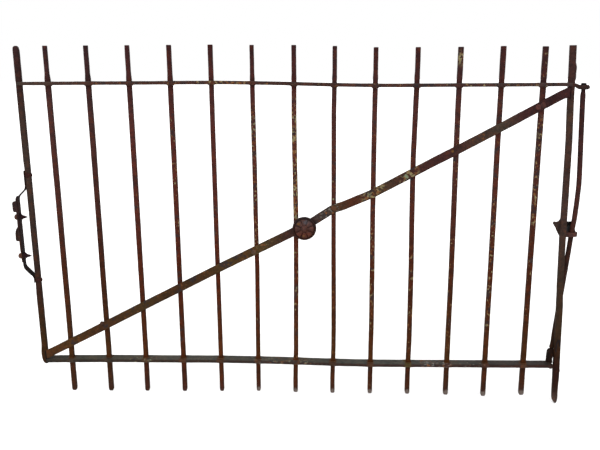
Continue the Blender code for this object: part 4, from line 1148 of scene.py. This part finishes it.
# ---------------- hinge side
def build_hinge():
    """The eye, the long rod with its head, the forged guide and the lug."""
    eye_iron = rust("eye_rust", 91.0, (58, 42, 40), bloom=0.2, dark=0.5)
    bm = bmesh.new()
    neck = [Vector(p) for p in (
        (-0.031, 0.0, 0.956), (-0.023, 0.0, 0.9556), (-0.018, 0.0, 0.9536), (-0.0125, 0.0, 0.95),
        (-0.008, 0.0, EYE.z),
    )]
    path = resample(rounded_path(neck, 0.004), 0.0015)
    count = len(path)
    add_loft(bm, sweep_rings(path, lambda i, p: section(
        0.003 + 0.0028 * i / count, 0.005 + 0.003 * i / count, 0.0022, side=1
    )))
    edge = EYE_THICK / 2
    turned(bm, EYE, (0, 0, 1), fill_profile((
        (-edge, EYE_RADIUS - 0.0044), (-edge * 0.8, EYE_RADIUS - 0.002),
        (-edge * 0.4, EYE_RADIUS - 0.0006), (0.0, EYE_RADIUS - 0.0002), (edge * 0.4, EYE_RADIUS - 0.0006),
        (edge * 0.8, EYE_RADIUS - 0.002), (edge + 0.001, EYE_RADIUS - 0.0044),
    ), 0.001), 48)
    ring = make("rail_eye", bm)
    bm = bmesh.new()
    bore = ROD_HOLE - 0.0004
    turned(bm, (ROD_LINE[0][0], 0.0, EYE.z), (0, 0, 1), ((-0.02, bore), (0.02, bore)), 32)
    forge(ring, 0.0007, 2)
    drill(ring, bm)
    weather(ring, 0.00045, 0.0002, 92.0)
    settle(ring, eye_iron, "rail_iron", "top_rail")

    rod_iron = rust("rod_rust", 93.0, lambda f: f.bands(f.z, (
        (0.15, 41, 27, 19), (0.22, 49, 32, 22), (0.4, 58, 38, 32), (0.52, 56, 35, 29), (0.56, 74, 44, 38),
        (0.7, 66, 40, 38), (0.9, 62, 37, 37), (0.952, 58, 36, 36), (0.957, 24, 19, 20),
    ), 0.004), bloom=0.25, dark=0.6)
    path = resample(rounded_path(ROD_LINE, 0.01), 0.0042)
    count = len(path)

    def round_bar(i, point):
        size = ROD_RADIUS * (0.94 if i == count - 1 or i == 0 else 1.0)
        size *= 1.0 + 0.02 * waver(i * 0.13, 4.0, 0.0)
        neck = 0.3 * smooth((0.94 - point.z) / 0.014)
        wide = size * (0.86 + neck - 0.08 * smooth((0.215 - point.z) / 0.02))
        angles = (2.0 * math.pi * k / 20 for k in range(20))
        return [(wide * math.cos(a), size * math.sin(a)) for a in angles]
    bm = bmesh.new()
    add_loft(bm, sweep_rings(path, round_bar))
    rod_x, rod_y, _ = ROD_LINE[-1]
    pin = ((0.0, 0.0033), (0.013, 0.0033), (0.0165, 0.005))
    turned(bm, (rod_x, rod_y, 0.1612), (0, 0, 1), pin, 20)
    rod = weather(make("rod_bar", bm), 0.00016, 0.00012, 94.0)
    settle(rod, rod_iron, "rod_iron", "hinge_rod", body="rod")

    bm = bmesh.new()
    seat = EYE.z + edge + GAP
    turned(bm, (ROD_LINE[0][0], 0.0, seat), (0, 0, 1), fill_profile((
        (0.0012, 0.0071), (0.0017, 0.0074), (0.0044, 0.0073), (0.0052, 0.0066),
    ), 0.001), 6)
    head = make("rod_nut", bm, smooth_angle=30.0)
    nut_iron = rust("nut_rust", 95.0, (24, 20, 22), bloom=0.03, dark=0.6)
    settle(head, nut_iron, "hardware_iron", "rod_head", body="rod")

    low, high = 0.524, 0.5653
    back = HALF_STILE + GAP
    bm = bmesh.new()
    wing = (
        (-0.006, low), (-0.006, high), (-0.0118, 0.5688), (-0.015, 0.58), (-0.0272, 0.5812),
        (-0.0296, 0.5742), (-0.033, 0.5692), (-0.039, 0.5668), (-0.0462, 0.568), (-0.0486, 0.566),
        (-0.0482, 0.561), (-0.044, 0.5545), (-0.0406, 0.55), (-0.0376, 0.542), (-0.033, 0.533),
        (-0.027, low),
    )
    prism(bm, wing, back + 0.0002, back + 0.004)
    web = ((-0.0105, low), (-0.0105, high), (0.011, high), (0.0145, 0.5488), (0.022, 0.5388), (0.023, low))
    prism(bm, web, 0.021, 0.024)
    block(bm, (-0.01, back + 0.0006, low + 0.0004), (-0.0062, 0.024, high - 0.0004))
    collar = (
        (-0.0128, 0.0012), (0.014, 0.0008), (0.0208, 0.0042), (0.0245, 0.011),
        (0.0232, 0.019), (0.0183, 0.0236), (-0.0093, 0.0236), (-0.0128, 0.015),
    )
    add_loft(bm, [[(x, y, z) for x, y in collar] for z in (low - 0.001, low + 0.0118)])
    guide = forge(make("guide_forging", bm), 0.0008, 2)
    bm = bmesh.new()
    bore = ROD_HOLE + 0.0014
    turned(bm, (ROD_LINE[9][0], ROD_LINE[9][1], low), (0, 0, 1), ((-0.01, bore), (0.02, bore)), 32)
    drill(guide, bm)
    weather(guide, 0.0003, 0.0002, 97.0)

    def guide_base(f):
        middle = f.between(f.x, -0.0115, 0.0225, 0.001)
        above = f.step(f.z, 0.5355, 0.5375)
        # Above z 0.553 the middle web turns near black: painted shadow in the set-back recess at the
        # guide's top. Below it the web is blue-grey.
        upper = f.mix(f.step(f.z, 0.551, 0.555), colour(56, 56, 58), colour(20, 14, 16))
        return f.mix(middle, colour(68, 54, 49), f.mix(above, colour(80, 54, 50), upper))
    guide_iron = rust("guide_rust_and_painted_shadow", 96.0, guide_base, bloom=0.12, dark=0.6)
    settle(guide, guide_iron, "hardware_iron", "rod_guide")

    bm = bmesh.new()
    left, waist, right = -0.0357, -0.0198, -0.0162
    low_y, high_y = 0.0022, 0.0177
    # (height, low X, high X, how much less deep)
    outline = (
        (0.13, left - 0.0004, waist + 0.0024, 0.0), (0.139, left, waist + 0.0008, 0.0),
        (0.143, left, waist + 0.0004, 0.0), (0.147, left, waist + 0.0014, 0.0),
        (0.151, left + 0.0001, right - 0.0008, 0.0), (0.16, left + 0.0006, right, 0.0),
        (0.165, left + 0.0012, right, 0.0), (0.169, left + 0.0024, right, 0.0004),
        (0.172, left + 0.0046, right, 0.001), (0.1738, left + 0.008, right - 0.0004, 0.0022),
    )
    rings = []
    for z, low_x, high_x, inset in outline:
        ring = section((high_x - low_x) / 2, (high_y - low_y) / 2 - inset, 0.0024)
        rings.append(level_ring((low_x + high_x) / 2, (low_y + high_y) / 2, z, ring))
    add_loft(bm, rings)
    lug = forge(make("lug_forging", bm), 0.0008, 1)
    bm = bmesh.new()
    turned(bm, (rod_x, rod_y, 0.1592), (0, 0, 1), ((0.0, 0.005), (0.03, 0.005)), 24)
    drill(lug, bm)
    weather(lug, 0.00035, 0.0002, 99.0)
    lug_iron = rust("lug_rust", 98.0, (35, 23, 14), bloom=0.15, dark=0.55)
    settle(lug, lug_iron, "hardware_iron", "rod_lug")


# ---------------- studio
FLOOR_REACH = 30.0
FLOOR_Z = -0.002
KEY_ENERGY = 3.0
KEY_SPREAD = 60.0                       # degrees
KEY_DIRECTION = (0.16, 0.62, -0.77)
CAMERA_PLACE = (-0.7221, -1.9762, 1.0358)
CAMERA_TURN = (76.4398, 0.3305, 1.5703)  # degrees


def build_studio():
    """A wide pale floor, soft light, and the camera."""
    mesh = bpy.data.meshes.new("studio_floor")
    corners = [(x * FLOOR_REACH, y * FLOOR_REACH, FLOOR_Z) for x, y in ((-1, -1), (1, -1), (1, 1), (-1, 1))]
    mesh.from_pydata(corners, [], [(0, 1, 2, 3)])
    floor = show("studio_floor", mesh)
    paint = bpy.data.materials.new("studio_paint")
    paint.use_nodes = True
    shader = paint.node_tree.nodes["Principled BSDF"]
    set_inputs(shader, Base_Color=grey(0.97), Roughness=1.0, Specular_IOR_Level=0.0)
    mesh.materials.append(paint)

    world = bpy.data.worlds.new("studio")
    world.use_nodes = True
    tree = world.node_tree
    glow = tree.nodes["Background"]
    set_inputs(glow, Color=grey(1.0), Strength=0.8)
    backdrop = tree.nodes.new("ShaderNodeBackground")
    set_inputs(backdrop, Color=grey(1.0), Strength=1.0)
    seen = tree.nodes.new("ShaderNodeLightPath")
    choice = tree.nodes.new("ShaderNodeMixShader")
    tree.links.new(seen.outputs["Is Camera Ray"], choice.inputs[0])
    tree.links.new(glow.outputs[0], choice.inputs[1])
    tree.links.new(backdrop.outputs[0], choice.inputs[2])
    tree.links.new(choice.outputs[0], tree.nodes["World Output"].inputs["Surface"])
    bpy.context.scene.world = world

    lamp = bpy.data.lights.new("key", "SUN")
    lamp.energy = KEY_ENERGY
    lamp.angle = math.radians(KEY_SPREAD)
    light = show("key", lamp)
    light.rotation_euler = Vector(KEY_DIRECTION).to_track_quat("-Z", "Y").to_euler()

    lens = bpy.data.cameras.new("view")
    lens.lens = 42.0
    lens.sensor_width = 36.0
    lens.clip_end = 60.0
    camera = show("view", lens)
    camera.location = CAMERA_PLACE
    camera.rotation_euler = [math.radians(a) for a in CAMERA_TURN]
    bpy.context.scene.camera = camera
    bpy.context.scene.view_settings.view_transform = "Standard"


build_pickets()
build_rails()
build_stiles()
build_brace()
build_rosette()
build_latch()
build_hinge()
build_studio()
